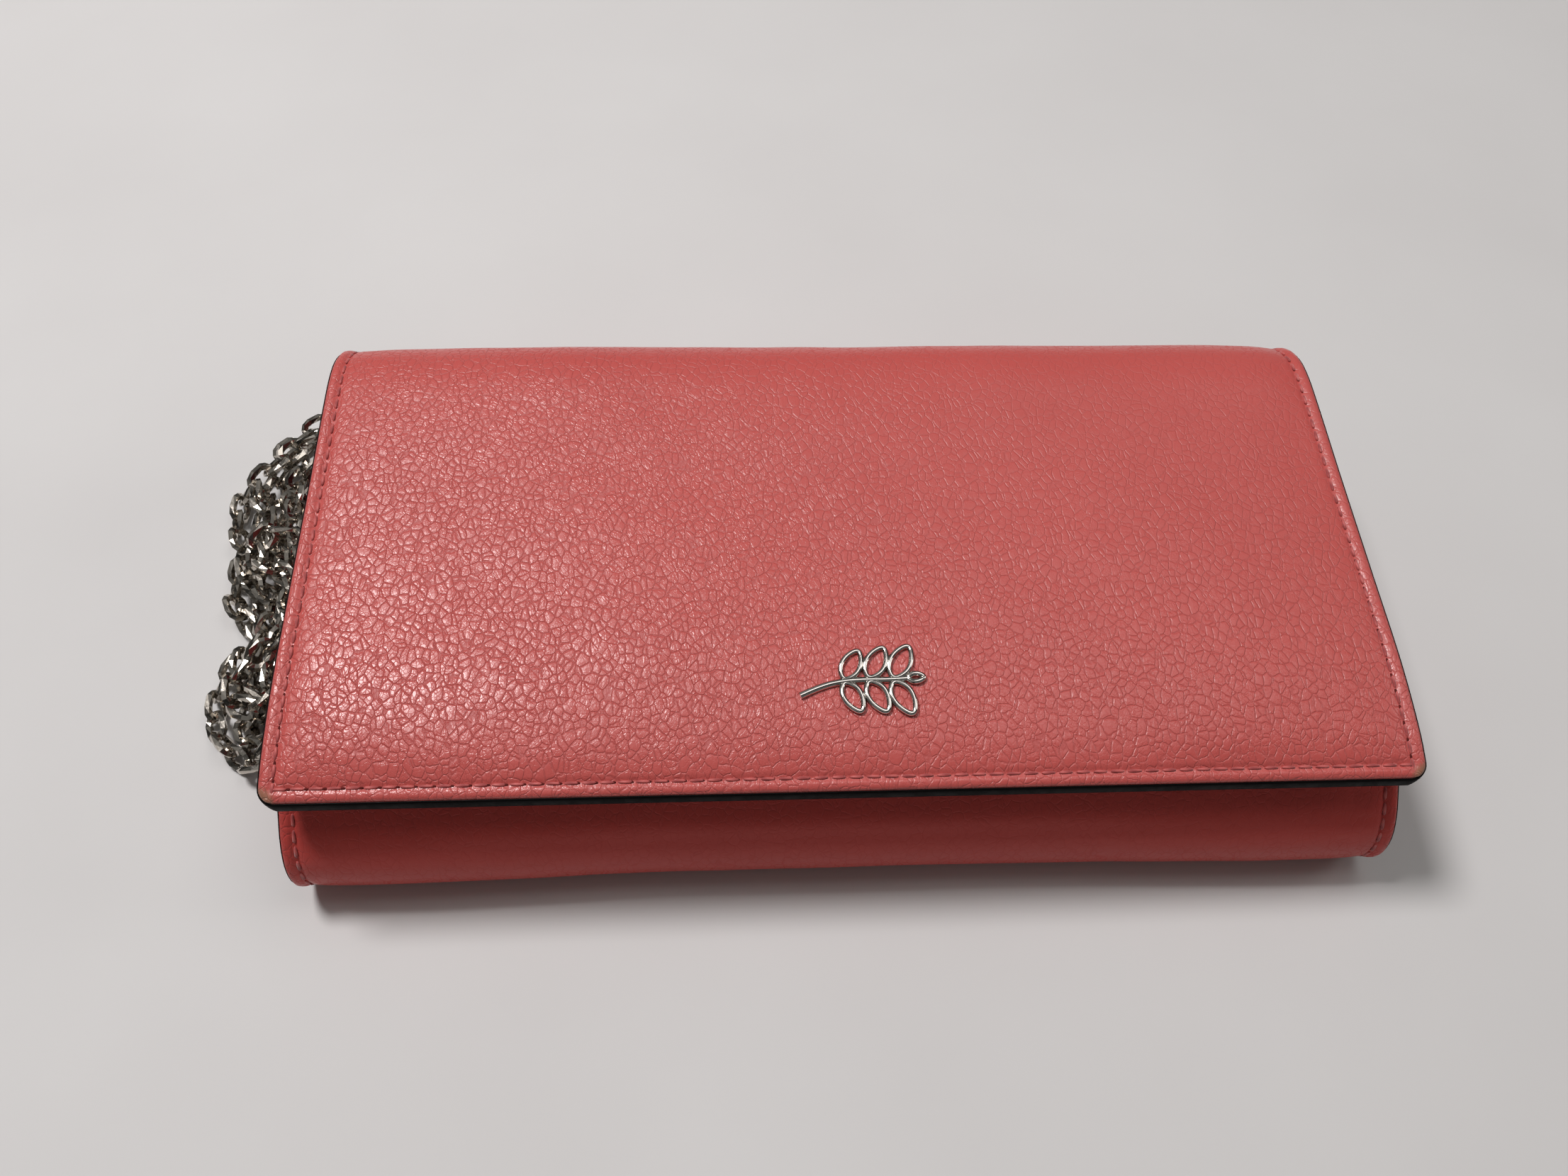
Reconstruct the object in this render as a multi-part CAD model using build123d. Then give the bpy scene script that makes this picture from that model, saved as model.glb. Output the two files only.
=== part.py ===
from build123d import *
import math
import os

# Flap wallet on a chain, lying on its back: back panel down, flap on top.
# X runs along the width, +Y towards the spine and the mouth, +Z up.
# The origin is on the table, under the middle of the wallet. Millimetres.

# ---------------------------------------------------------------- driving dimensions
width = 195.0  # side edge to side edge
depth = 108.0  # bottom fold to the bulge of the spine
rear_height = 41.0  # top of the flap where it turns down to the spine
front_height = 30.5  # top of the flap's front edge
flap_setback = 6.3  # flap's front edge behind the bottom fold
fold_height = 9.5  # height of the bottom fold's outermost line
crown_setback = 17.0  # where the flap reaches its full height
flap_fold_setback = 14.0  # flap's fold line in front of the spine's bulge
spine_fold_setback = 3.0  # spine's fold line in front of its bulge
spine_fold_z = 1.2

body_leather = 1.5
lining = 0.5
flap_leather_thickness = 1.2
flap_board_thickness = 0.6
card_leather = 0.5
pocket_leather = 0.8
gusset_leather = 0.8
gusset_depth = 9.0  # how far the gusset's crease points inwards
gusset_inset = 0.4
gusset_crease = 2.2  # leather's thickness along X at the crease
gusset_clearance = 0.1

fold_gap = 2.0  # from a fold's axis to the end of each stiff panel
closure_gap = 3.4  # between the flap's lining and the front panel
edge_inset = 3.0  # linings and pocket walls stop this far inside the side edges
running_clearance = 0.1
free_clearance = 0.3

divider_front_height = 11.0  # middle of the zip pocket at its bottom seam
pocket_gap_front = 4.4  # between the pocket walls, at the bottom
pocket_gap_rear = 4.8  # between the pocket walls, at the zip
pocket_seam_gap = 0.2  # between each wall's inner face and the middle, at the bottom seam
pocket_knee = 6.0  # bottom seam to where the walls stop spreading
divider_rear_height = 18.4  # middle of the zip pocket at the zip
divider_inset_front = 8.5  # bottom fold to the pocket's bottom seam
divider_inset_rear = 20.0  # spine bulge to the zip

card_step = 9.0  # one slot's edge behind the next
card_slots = 3
card_side_inset = 15.5
card_mouth_inset = 28.0
card_foot_inset = 18.0

zip_length = 150.0
zip_pitch = 2.5
tooth_length = 1.3
tooth_width = 1.0
tooth_depth = 1.5
tape_thickness = 0.5
tape_width = 8.0
slider_length = 9.0
slider_height = 6.0
slider_plate = 1.0
slider_post = 0.6
slider_clearance = 0.2
pull_length = 22.0
pull_width = 5.0
pull_thickness = 1.0
pull_eye_radius = 1.3
pull_pin_radius = 0.6
pull_paddle_length = 12.0
pull_neck_width = 2.0
pull_standoff = 1.6  # pull's pin in front of the slider's face
lug_width = 1.6
lug_thickness = 0.8
lug_offset = 1.5
stop_size = 1.4
stop_gap = 0.4
zip_overhang = 0.8  # tape's face behind the pocket's mouth
tape_overlap = 3.0  # tape past the last tooth

snap_radius = 6.5
snap_setback = 21.0  # snap's centre behind the bottom fold
snap_socket_height = 2.2
snap_stud_height = 0.9
snap_post_radius = 2.0
snap_post_height = 1.2
snap_hole_radius = 3.0
snap_chamfer = 0.3
snap_washer_radius = 5.0
snap_washer_thickness = 0.4

emblem_width = 21.0
emblem_height = 17.0
emblem_thickness = 1.1
emblem_setback = 23.0  # emblem's centre behind the bottom fold
emblem_offset = 1.5  # emblem's centre to the right of the middle
leaf_length = 7.4
leaf_width = 3.4
leaf_pairs = 3
leaf_spacing = 4.2  # along the stem, from pair to pair
leaf_angle = 62.0
leaf_shrink = 0.4  # each pair is this much shorter than the one beyond it
leaf_root = 1.0  # length of a leaf that the stem covers
stem_width = 1.1
emblem_post_radius = 0.7
emblem_post_spacing = 9.0
emblem_washer_radius = 2.2
emblem_washer_thickness = 0.4

ring_wire_radius = 1.0
ring_inner_width = 9.0
ring_drop = 10.0  # bar to the bottom of the bow, on the wire's middle
ring_setback = 24.0  # ring's middle in front of the spine's bulge
tab_width = 8.0
tab_leather = 0.9
tab_root = 10.0  # how far the tab reaches in between the pocket walls
tab_slit = 0.5  # gap between the tab's two layers
ring_side_gap = 0.9  # wallet's side edge to the ring's bar
ring_corner = 1.6
jump_ring_radius = 4.0  # to the middle of the wire
jump_wire_radius = 0.8
jump_ring_play = 1.0  # middle of the jump ring below the bow

chain_width = 5.5
heap_height = 10.5
heap_taper = 18.0

# ---------------------------------------------------------------- worked out from them
UPPER = 1
LOWER = -1
LEFT_SIDE = -1
RIGHT_SIDE = 1
UPRIGHT = (Align.CENTER, Align.CENTER, Align.MIN)
HANGING = (Align.CENTER, Align.CENTER, Align.MAX)
SET_BACK = (Align.CENTER, Align.MIN, Align.CENTER)

half_width = width / 2
front = -depth / 2
rear = depth / 2
inner_half_width = half_width - edge_inset
flap_front = front + flap_setback
flap_fold_y = rear - flap_fold_setback
spine_fold_y = rear - spine_fold_setback
flap_thickness = flap_leather_thickness + flap_board_thickness + lining
flap_slope = (rear_height - front_height) / (rear - crown_setback - flap_front)
flap_tilt = math.degrees(math.atan(flap_slope))
flap_cosine = math.cos(math.radians(flap_tilt))


def flap_top(y):
    """Height of the flap's outer face over y."""
    return front_height + flap_slope * (y - flap_front)


def panel_top(y):
    """Height of the front panel's outer face over y, behind its shoulder."""
    return flap_top(y) - (flap_thickness + closure_gap) / flap_cosine


panel_shoulder_y = front + 14.0
panel_rear_y = flap_fold_y - 2.0
divider_front_y = front + divider_inset_front
divider_rear_y = rear - divider_inset_rear
divider_slope = (divider_rear_height - divider_front_height) / (divider_rear_y - divider_front_y)


def divider_middle(y):
    """Height of the zip pocket's middle plane over y."""
    return divider_front_height + divider_slope * (y - divider_front_y)


# outer lines, in (y, z), of the leather that wraps the wallet
back_line = [
    (spine_fold_y - fold_gap, 0.0),
    (front + 8.0, 0.0),
    (front + 2.2, 2.2),
    (front, fold_height - 4.0),
    (front, fold_height - free_clearance),
]
front_line = [
    (front, fold_height + free_clearance),
    (front, fold_height + 1.8),
    (front + 3.2, fold_height + 6.8),
    (front + 8.0, fold_height + 11.2),
    (panel_shoulder_y, panel_top(panel_shoulder_y)),
    (panel_rear_y, panel_top(panel_rear_y)),
]
flap_line = [
    (flap_front, flap_top(flap_front)),
    (flap_fold_y - fold_gap, flap_top(flap_fold_y - fold_gap)),
]
spine_line = [
    (flap_fold_y + fold_gap, flap_top(flap_fold_y) - 0.2),
    (rear - 7.5, rear_height - 3.0),
    (rear - 1.6, rear_height - 10.5),
    (rear, rear_height / 2),
    (rear - 0.8, spine_fold_z + fold_gap + 7.0),
    (spine_fold_y + 0.9, spine_fold_z + fold_gap),
]
# every outer line runs so that the wallet's inside lies on this hand
INSIDE = Side.RIGHT
OTHER_HAND = Side.LEFT


def side_profile(line, thickness, side, round_radius, plane):
    """Face between an outer line and the line one thickness inside it."""
    with BuildSketch(plane) as profile:
        with BuildLine():
            if round_radius > 0:
                FilletPolyline(*line, radius=round_radius)
            else:
                Polyline(*line)
            offset(amount=thickness, side=side, kind=Kind.INTERSECTION, closed=True)
        make_face()
    return profile.sketch


def wall(line, thickness, side, half_span, skip=0.0, round_radius=2.5):
    """Leather or board drawn out along X, from skip to skip + thickness inside its line."""
    plane = Plane.YZ.offset(-half_span)
    sheet = extrude(side_profile(line, skip + thickness, side, round_radius, plane), 2 * half_span)
    if skip > 0:
        sheet -= extrude(side_profile(line, skip, side, round_radius, plane), 2 * half_span)
    return sheet


def flap_face(x, y):
    """Plane on the flap's outer face, with its Z square to the flap."""
    return Plane((x, y, flap_top(y))).rotated((flap_tilt, 0, 0))


def as_group(solids):
    return Compound(children=list(solids))


# ---------------------------------------------------------------- wrap of body leather
def make_back_panel():
    return wall(back_line, body_leather, INSIDE, half_width)


def make_back_lining():
    line = [(spine_fold_y - 6.0, 0.0), (front + 11.0, 0.0)]
    return wall(line, lining, INSIDE, inner_half_width, skip=body_leather, round_radius=0)


def make_front_panel():
    return wall(front_line, body_leather, INSIDE, half_width)


def make_front_lining():
    foot_y = panel_shoulder_y + 2.0
    line = [(foot_y, panel_top(foot_y)), (panel_rear_y, panel_top(panel_rear_y))]
    return wall(line, lining, INSIDE, inner_half_width, skip=body_leather, round_radius=0)


def make_spine_leather():
    return wall(spine_line, body_leather, INSIDE, half_width)


def make_spine_lining():
    return wall(spine_line, lining, INSIDE, inner_half_width, skip=body_leather)


# ---------------------------------------------------------------- flap
def emblem_post_places():
    y = front + emblem_setback
    for side in (-1, 1):
        yield emblem_offset + side * emblem_post_spacing / 2, y


def post_holes(radius):
    """Cutters through the flap at the emblem's posts."""
    return [flap_face(x, y) * Cylinder(radius, 4 * flap_thickness) for x, y in emblem_post_places()]


def make_flap_leather():
    sheet = wall(flap_line, flap_leather_thickness, INSIDE, half_width, round_radius=0)
    for hole in post_holes(emblem_post_radius + running_clearance):
        sheet -= hole
    return sheet


def make_flap_board():
    sheet = wall(
        flap_line, flap_board_thickness, INSIDE, half_width, skip=flap_leather_thickness, round_radius=0
    )
    for hole in post_holes(emblem_washer_radius + running_clearance):
        sheet -= hole
    return sheet


def make_flap_lining():
    skip = flap_leather_thickness + flap_board_thickness
    return wall(flap_line, lining, INSIDE, half_width, skip=skip, round_radius=0)


def leaf(length, breadth):
    """Pointed oval from the origin along +X."""
    radius = (length**2 / 4 + breadth**2 / 4) / breadth
    middle = length / 2
    upper = Pos(middle, radius - breadth / 2) * Circle(radius)
    lower = Pos(middle, breadth / 2 - radius) * Circle(radius)
    return upper & lower


def make_emblem():
    """Sprig of seven leaves on a stem, cut from plate, with two posts behind it."""
    y = front + emblem_setback
    stem_length = emblem_width - leaf_length
    sprig = Rectangle(stem_length, stem_width)
    end_x = stem_length / 2 - leaf_root
    sprig += Pos(end_x, 0) * leaf(leaf_length + leaf_root, leaf_width)
    reach = (emblem_height / 2) / math.sin(math.radians(leaf_angle))
    for pair in range(leaf_pairs):
        foot_x = end_x - leaf_root / 2 - pair * leaf_spacing
        size = min(reach, leaf_length + 1.6 * leaf_root - leaf_shrink * pair)
        for side in (-1, 1):
            sprig += Pos(foot_x, 0) * Rot(0, 0, side * leaf_angle) * leaf(size, leaf_width)
    plate = Pos(-leaf_length / 2, 0, 0) * extrude(sprig, emblem_thickness)
    posts = Part()
    post_length = flap_leather_thickness + emblem_washer_thickness
    for side in (-1, 1):
        post = Cylinder(emblem_post_radius, post_length + emblem_thickness / 2, align=UPRIGHT)
        posts += Pos(side * emblem_post_spacing / 2, 0, -post_length) * post
    return flap_face(emblem_offset, y) * (plate + posts)


def make_emblem_washers():
    """Washers in the board's pockets, pressed on the emblem's posts."""
    blank = Cylinder(emblem_washer_radius, emblem_washer_thickness, align=HANGING)
    washer = blank - Cylinder(emblem_post_radius, 4 * emblem_washer_thickness)
    under_leather = Pos(0, 0, -flap_leather_thickness)
    return as_group(flap_face(x, y) * under_leather * washer for x, y in emblem_post_places())


# ---------------------------------------------------------------- snap closure
def snap_frame(height_over_panel):
    """Plane square to the front panel, over the snap's centre."""
    y = front + snap_setback
    return Plane((0, y, panel_top(y))).rotated((flap_tilt, 0, 0)) * Pos(0, 0, height_over_panel)


def make_snap_socket():
    body = Cylinder(snap_radius, snap_socket_height, align=UPRIGHT)
    body = chamfer(body.edges().group_by(Axis.Z)[-1], snap_chamfer)
    floor = snap_socket_height - snap_post_height - free_clearance
    hole = Pos(0, 0, floor) * Cylinder(snap_hole_radius, snap_socket_height, align=UPRIGHT)
    return snap_frame(0) * (body - hole)


def make_snap_stud():
    cap = Cylinder(snap_radius, snap_stud_height, align=HANGING)
    cap = chamfer(cap.edges().group_by(Axis.Z)[0], snap_chamfer)
    post = Cylinder(snap_post_radius, snap_stud_height + snap_post_height, align=HANGING)
    return snap_frame(closure_gap) * (cap + post)


def make_snap_washer():
    washer = Cylinder(snap_washer_radius, snap_washer_thickness, align=HANGING)
    return snap_frame(-body_leather - lining) * washer


# ---------------------------------------------------------------- zip pocket (the divider)
def pocket_line(side):
    """Outer line of a pocket wall: +1 for the front wall, -1 for the back one."""
    seam = pocket_seam_gap + pocket_leather
    half_front = pocket_gap_front / 2 + pocket_leather
    half_rear = pocket_gap_rear / 2 + pocket_leather
    knee_y = divider_front_y + pocket_knee
    return [
        (divider_front_y, divider_front_height + side * seam),
        (knee_y, divider_middle(knee_y) + side * half_front),
        (divider_rear_y, divider_rear_height + side * half_rear),
    ]


def pocket_outer(side, y):
    """Height of a pocket wall's outer face over y, between its knee and the mouth."""
    knee, mouth = pocket_line(side)[1:]
    return knee[1] + (mouth[1] - knee[1]) * (y - knee[0]) / (mouth[0] - knee[0])


def pocket_inner(side, y):
    """Height of a pocket wall's inner face over y, between its knee and the mouth."""
    knee, mouth = pocket_line(side)[1:]
    slope = (mouth[1] - knee[1]) / (mouth[0] - knee[0])
    return pocket_outer(side, y) - side * pocket_leather * math.hypot(1, slope)


def inward(side):
    return INSIDE if side == UPPER else OTHER_HAND


def make_pocket_wall(side):
    return wall(pocket_line(side), pocket_leather, inward(side), inner_half_width)


zip_face_y = divider_rear_y + zip_overhang
slider_x = zip_length / 2 - slider_length / 2 - 0.5
slider_face_y = zip_face_y + tooth_depth + slider_clearance
slider_back_y = zip_face_y - tape_thickness - slider_clearance
pull_pin_y = slider_face_y + slider_plate + pull_standoff


def make_zip_tape(side):
    """Tape along the inside of a pocket wall, turned towards the teeth at the mouth."""
    foot_y = divider_rear_y - tape_width
    skin = side * (pocket_leather + running_clearance)
    tooth_edge = divider_rear_height + side * (tooth_width + slider_post / 2 + slider_clearance)
    line = [
        (foot_y, pocket_outer(side, foot_y) - skin),
        (zip_face_y, pocket_outer(side, zip_face_y) - skin),
        (zip_face_y, tooth_edge),
    ]
    return wall(line, tape_thickness, inward(side), zip_length / 2 + tape_overlap, round_radius=0)


def make_zip_teeth(side):
    """One row of teeth, half a pitch along from the other row."""
    near = slider_post / 2 + slider_clearance
    z = divider_rear_height + side * (near + tooth_width / 2)
    count = int(zip_length / zip_pitch)
    start = -zip_length / 2 + (0.25 + 0.25 * (side + 1)) * zip_pitch
    tooth = Box(tooth_length, tooth_depth, tooth_width, align=SET_BACK)
    return as_group(Pos(start + i * zip_pitch, zip_face_y, z) * tooth for i in range(count))


def make_zip_stops():
    """Stop bars across both rows, one at each end."""
    span = 2 * (tooth_width + slider_clearance) + slider_post
    bar = Box(stop_size, tooth_depth, span, align=SET_BACK)
    x = zip_length / 2 + stop_size / 2 + stop_gap
    return as_group(Pos(side * x, zip_face_y, divider_rear_height) * bar for side in (-1, 1))


def make_zip_slider():
    """Two plates, one each side of the tape, joined by the post between the rows."""
    set_forward = (Align.CENTER, Align.MAX, Align.CENTER)
    outer = Box(slider_length, slider_plate, slider_height, align=SET_BACK)
    outer = fillet(outer.edges().filter_by(Axis.Y), 1.5)
    inner_height = pocket_gap_rear - 2 * (tape_thickness + slider_clearance + 0.1)
    inner = Box(slider_length, slider_plate, inner_height, align=set_forward)
    post_depth = slider_face_y - slider_back_y + slider_plate
    post = Box(slider_length * 0.7, post_depth, slider_post, align=SET_BACK)
    body = Pos(0, slider_face_y, 0) * outer
    body += Pos(0, slider_back_y, 0) * inner
    body += Pos(0, slider_back_y - slider_plate / 2, 0) * post
    lug_gap = pull_pin_y - slider_face_y
    for side in (-1, 1):
        lug = Box(lug_width, lug_gap + lug_width / 2, lug_thickness, align=SET_BACK)
        body += Pos(0, slider_face_y, side * lug_offset) * lug
    pin = Pos(0, pull_pin_y, 0) * Cylinder(pull_pin_radius, 2 * lug_offset + lug_thickness / 2)
    return Pos(slider_x, 0, divider_rear_height) * (body + pin)


def make_zip_pull():
    """Flat tab that hangs from the slider's pin, lying along the zip towards -X."""
    eye = Cylinder(pull_eye_radius, pull_neck_width)
    tab = Pos(-pull_length / 2, 0, 0) * Box(pull_length, pull_thickness, pull_neck_width)
    paddle = Box(pull_paddle_length, pull_thickness, pull_width)
    paddle = Pos(pull_paddle_length / 2 - pull_length, 0, 0) * fillet(paddle.edges().filter_by(Axis.Y), 1.2)
    hole = Cylinder(pull_pin_radius + running_clearance, 2 * pull_neck_width)
    return Pos(slider_x, pull_pin_y, divider_rear_height) * (eye + tab + paddle - hole)


# ---------------------------------------------------------------- card slots
def make_card_panel(step, foot_y, mouth_y, floor_line):
    """One slot's leather; each lies on the last and stops a step short of it."""
    edge_y = mouth_y - step * card_step
    line = [(foot_y, floor_line(foot_y)), (edge_y, floor_line(edge_y))]
    half_span = half_width - card_side_inset
    return wall(line, card_leather, OTHER_HAND, half_span, skip=step * card_leather, round_radius=0)


def front_card_floor(y):
    """Outer face of the pocket's front wall."""
    return pocket_outer(UPPER, y)


def rear_card_floor(y):
    """Inner face of the back lining, which is flat."""
    return body_leather + lining


# ---------------------------------------------------------------- gussets
def gusset_section(side, y, low, high):
    """V of leather, pointing inwards, between the heights low and high."""
    outer_x = inner_half_width - gusset_inset
    inner_x = outer_x - gusset_depth
    middle = (low + high) / 2
    thick = gusset_leather
    points = [
        (outer_x, low),
        (inner_x, middle),
        (outer_x, high),
        (outer_x, high - thick),
        (inner_x + gusset_crease, middle),
        (outer_x, low + thick),
    ]
    return make_face(Polyline(*[(side * x, y, z) for x, z in points], close=True))


def make_gusset(side, low_line, high_line):
    foot_y = panel_shoulder_y + 2.0
    mouth_y = divider_rear_y - 1.0
    ends = [
        gusset_section(side, y, low_line(y) + gusset_clearance, high_line(y) - gusset_clearance)
        for y in (foot_y, mouth_y)
    ]
    return loft(ends, ruled=True)


def pocket_underside(y):
    """Outer face of the pocket's back wall."""
    return pocket_outer(LOWER, y)


def front_lining_inner(y):
    """Height of the front lining's inner face, behind the shoulder."""
    return panel_top(y) - (body_leather + lining) / flap_cosine


# ---------------------------------------------------------------- rings and their tabs
ring_y = rear - ring_setback
ring_x = half_width + ring_wire_radius + ring_side_gap
ring_z = divider_middle(ring_y)
bow_z = ring_z - ring_drop
jump_z = bow_z - jump_ring_play


def face_of(corners):
    return make_face(Polyline(*corners, close=True))


def make_ring_tab(side):
    """Strap folded round the ring's bar, its ends filling the gap between the pocket walls."""
    loop_radius = ring_wire_radius + running_clearance
    turn = loop_radius + tab_leather
    front_y, rear_y = ring_y - tab_width / 2, ring_y + tab_width / 2
    between_walls = [
        (front_y, pocket_inner(LOWER, front_y)),
        (rear_y, pocket_inner(LOWER, rear_y)),
        (rear_y, pocket_inner(UPPER, rear_y)),
        (front_y, pocket_inner(UPPER, front_y)),
    ]
    beside_ring = [
        (front_y, ring_z - turn),
        (rear_y, ring_z - turn),
        (rear_y, ring_z + turn),
        (front_y, ring_z + turn),
    ]
    root_plane = Plane.YZ.offset(half_width - tab_root)
    mouth = Plane.YZ.offset(inner_half_width) * face_of(between_walls)
    root = extrude(root_plane * face_of(between_walls), tab_root - edge_inset, dir=(1, 0, 0))
    root += loft([mouth, Plane.YZ.offset(half_width) * face_of(beside_ring)])
    with BuildSketch(Plane.XZ.offset(-rear_y)) as section:
        with Locations((ring_x, ring_z)):
            Circle(turn)
        with Locations(((half_width + ring_x) / 2, ring_z)):
            Rectangle(ring_x - half_width, 2 * turn)
    strap = root + extrude(section.sketch, tab_width)
    with BuildSketch(Plane.XZ.offset(-rear_y)) as opening:
        with Locations((ring_x, ring_z)):
            Circle(loop_radius)
        with Locations((ring_x - 1.5 * loop_radius, ring_z)):
            Rectangle(2 * loop_radius, tab_slit)
    strap -= extrude(opening.sketch, tab_width)
    return strap if side == RIGHT_SIDE else mirror(strap, about=Plane.YZ)


def make_d_ring(side):
    """Bar, two legs and a round bow of wire, hanging from its bar."""
    half = ring_inner_width / 2 + ring_wire_radius
    corner = ring_corner
    shrug = corner * (1 - math.sqrt(0.5))
    bow_height = half - ring_drop
    with BuildLine(Plane.YZ) as path:
        Line((-half + corner, 0), (half - corner, 0))
        ThreePointArc((half - corner, 0), (half - shrug, -shrug), (half, -corner))
        Line((half, -corner), (half, bow_height))
        ThreePointArc((half, bow_height), (0, -ring_drop), (-half, bow_height))
        Line((-half, bow_height), (-half, -corner))
        ThreePointArc((-half, -corner), (-half + shrug, -shrug), (-half + corner, 0))
    start = Plane((0, -half + corner, 0), x_dir=(1, 0, 0), z_dir=(0, 1, 0))
    ring = sweep(start * Circle(ring_wire_radius), path=path.wires()[0])
    return Pos(side * ring_x, ring_y, ring_z) * ring


def make_jump_ring(side):
    """Plain wire ring that links the bow to the chain."""
    ring = Rot(90, 0, 0) * Torus(jump_ring_radius, jump_wire_radius)
    return Pos(side * ring_x, ring_y, jump_z) * ring


# ---------------------------------------------------------------- chain
# The chain leaves the left jump ring, lies in a heap along the wallet's left side, then
# runs behind the spine to the right jump ring.
chain_lead_route = [
    (-106.2, 30.0, 4.4),
    (-110.8, 31.0, 3.4),
]
heap_outline = [
    (-99.8, 12.0),
    (-108.6, 25.0),
    (-110.0, 50.0),
    (-117.0, 58.0),
    (-123.5, 52.0),
    (-127.5, 34.0),
    (-125.5, 8.0),
    (-121.5, 2.0),
    (-121.0, -20.0),
    (-114.5, -30.0),
    (-99.8, -29.0),
]
chain_rear_route = [
    (-116.6, 51.2, 2.8),
    (-108.6, 61.4, 2.8),
    (-100.4, 66.6, 2.8),
    (-84.0, 68.6, 2.8),
    (-54.0, 64.8, 2.8),
    (-16.0, 68.2, 2.8),
    (22.0, 64.6, 2.8),
    (58.0, 67.4, 2.8),
    (86.0, 68.8, 2.8),
    (101.0, 66.4, 2.8),
    (109.6, 59.4, 2.8),
    (113.2, 49.8, 2.8),
    (112.8, 41.2, 2.9),
    (110.0, 34.8, 3.4),
    (106.6, 30.8, 4.2),
]


def corner_radii(route):
    """Largest arc that each corner's two runs leave room for."""
    radii = []
    for before, corner, after in zip(route, route[1:], route[2:]):
        arriving = Vector(*corner) - Vector(*before)
        leaving = Vector(*after) - Vector(*corner)
        half_turn = math.radians(arriving.get_angle(leaving)) / 2
        radii.append(0.45 * min(arriving.length, leaving.length) / math.tan(half_turn))
    return radii


def chain_tube(route):
    radii = corner_radii(route)
    print("corner radii:", [round(radius, 1) for radius in radii])
    line = FilletPolyline(*route, radius=radii)
    start = Plane(origin=route[0], z_dir=Vector(*route[1]) - Vector(*route[0]))
    tube = sweep(start * Circle(chain_width / 2), path=line)
    print("tube volume:", round(tube.volume, 1), "length times section:",
          round(line.length * math.pi * chain_width**2 / 4, 1), "length:", round(line.length, 1))
    return tube


def make_chain_lead():
    start, end = [Vector(*point) for point in chain_lead_route]
    foot = Plane(origin=start, z_dir=end - start)
    return foot * Cylinder(chain_width / 2, (end - start).length, align=UPRIGHT)


def make_chain_heap():
    outline = make_face(Polyline(*heap_outline, close=True))
    mound = extrude(outline, heap_height, taper=heap_taper)
    return mound - nodes["chain_lead"] - nodes["chain_rear_run"]


# ---------------------------------------------------------------- write every node
nodes = {
    "back_panel": make_back_panel(),
    "back_lining": make_back_lining(),
    "front_panel": make_front_panel(),
    "front_lining": make_front_lining(),
    "spine_leather": make_spine_leather(),
    "spine_lining": make_spine_lining(),
    "flap_leather": make_flap_leather(),
    "flap_board": make_flap_board(),
    "flap_lining": make_flap_lining(),
    "emblem": make_emblem(),
    "emblem_washers": make_emblem_washers(),
    "snap_socket": make_snap_socket(),
    "snap_stud": make_snap_stud(),
    "snap_washer": make_snap_washer(),
    "pocket_front_wall": make_pocket_wall(UPPER),
    "pocket_back_wall": make_pocket_wall(LOWER),
    "zip_tape_upper": make_zip_tape(UPPER),
    "zip_tape_lower": make_zip_tape(LOWER),
    "zip_teeth_upper": make_zip_teeth(UPPER),
    "zip_teeth_lower": make_zip_teeth(LOWER),
    "zip_stops": make_zip_stops(),
    "zip_slider": make_zip_slider(),
    "zip_pull": make_zip_pull(),
    "chain_lead": make_chain_lead(),
    "chain_rear_run": chain_tube(chain_rear_route),
}
nodes["chain_heap"] = make_chain_heap()
for step in range(card_slots):
    foot_y = front + card_foot_inset
    mouth_y = rear - card_mouth_inset
    nodes[f"front_card_panel_{step + 1}"] = make_card_panel(step, foot_y, mouth_y, front_card_floor)
    nodes[f"rear_card_panel_{step + 1}"] = make_card_panel(step, foot_y, mouth_y, rear_card_floor)
for name, side in (("left", LEFT_SIDE), ("right", RIGHT_SIDE)):
    nodes[f"{name}_rear_gusset"] = make_gusset(side, rear_card_floor, pocket_underside)
    nodes[f"{name}_front_gusset"] = make_gusset(side, front_card_floor, front_lining_inner)
    nodes[f"{name}_ring_tab"] = make_ring_tab(side)
    nodes[f"{name}_d_ring"] = make_d_ring(side)
    nodes[f"{name}_jump_ring"] = make_jump_ring(side)

os.makedirs("parts", exist_ok=True)
for node, shape in nodes.items():
    export_step(shape, f"parts/{node}.step")
print(len(nodes), "nodes written")
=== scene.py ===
import math
from bisect import bisect_right

import bpy
from mathutils import Matrix, Vector, noise


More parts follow.
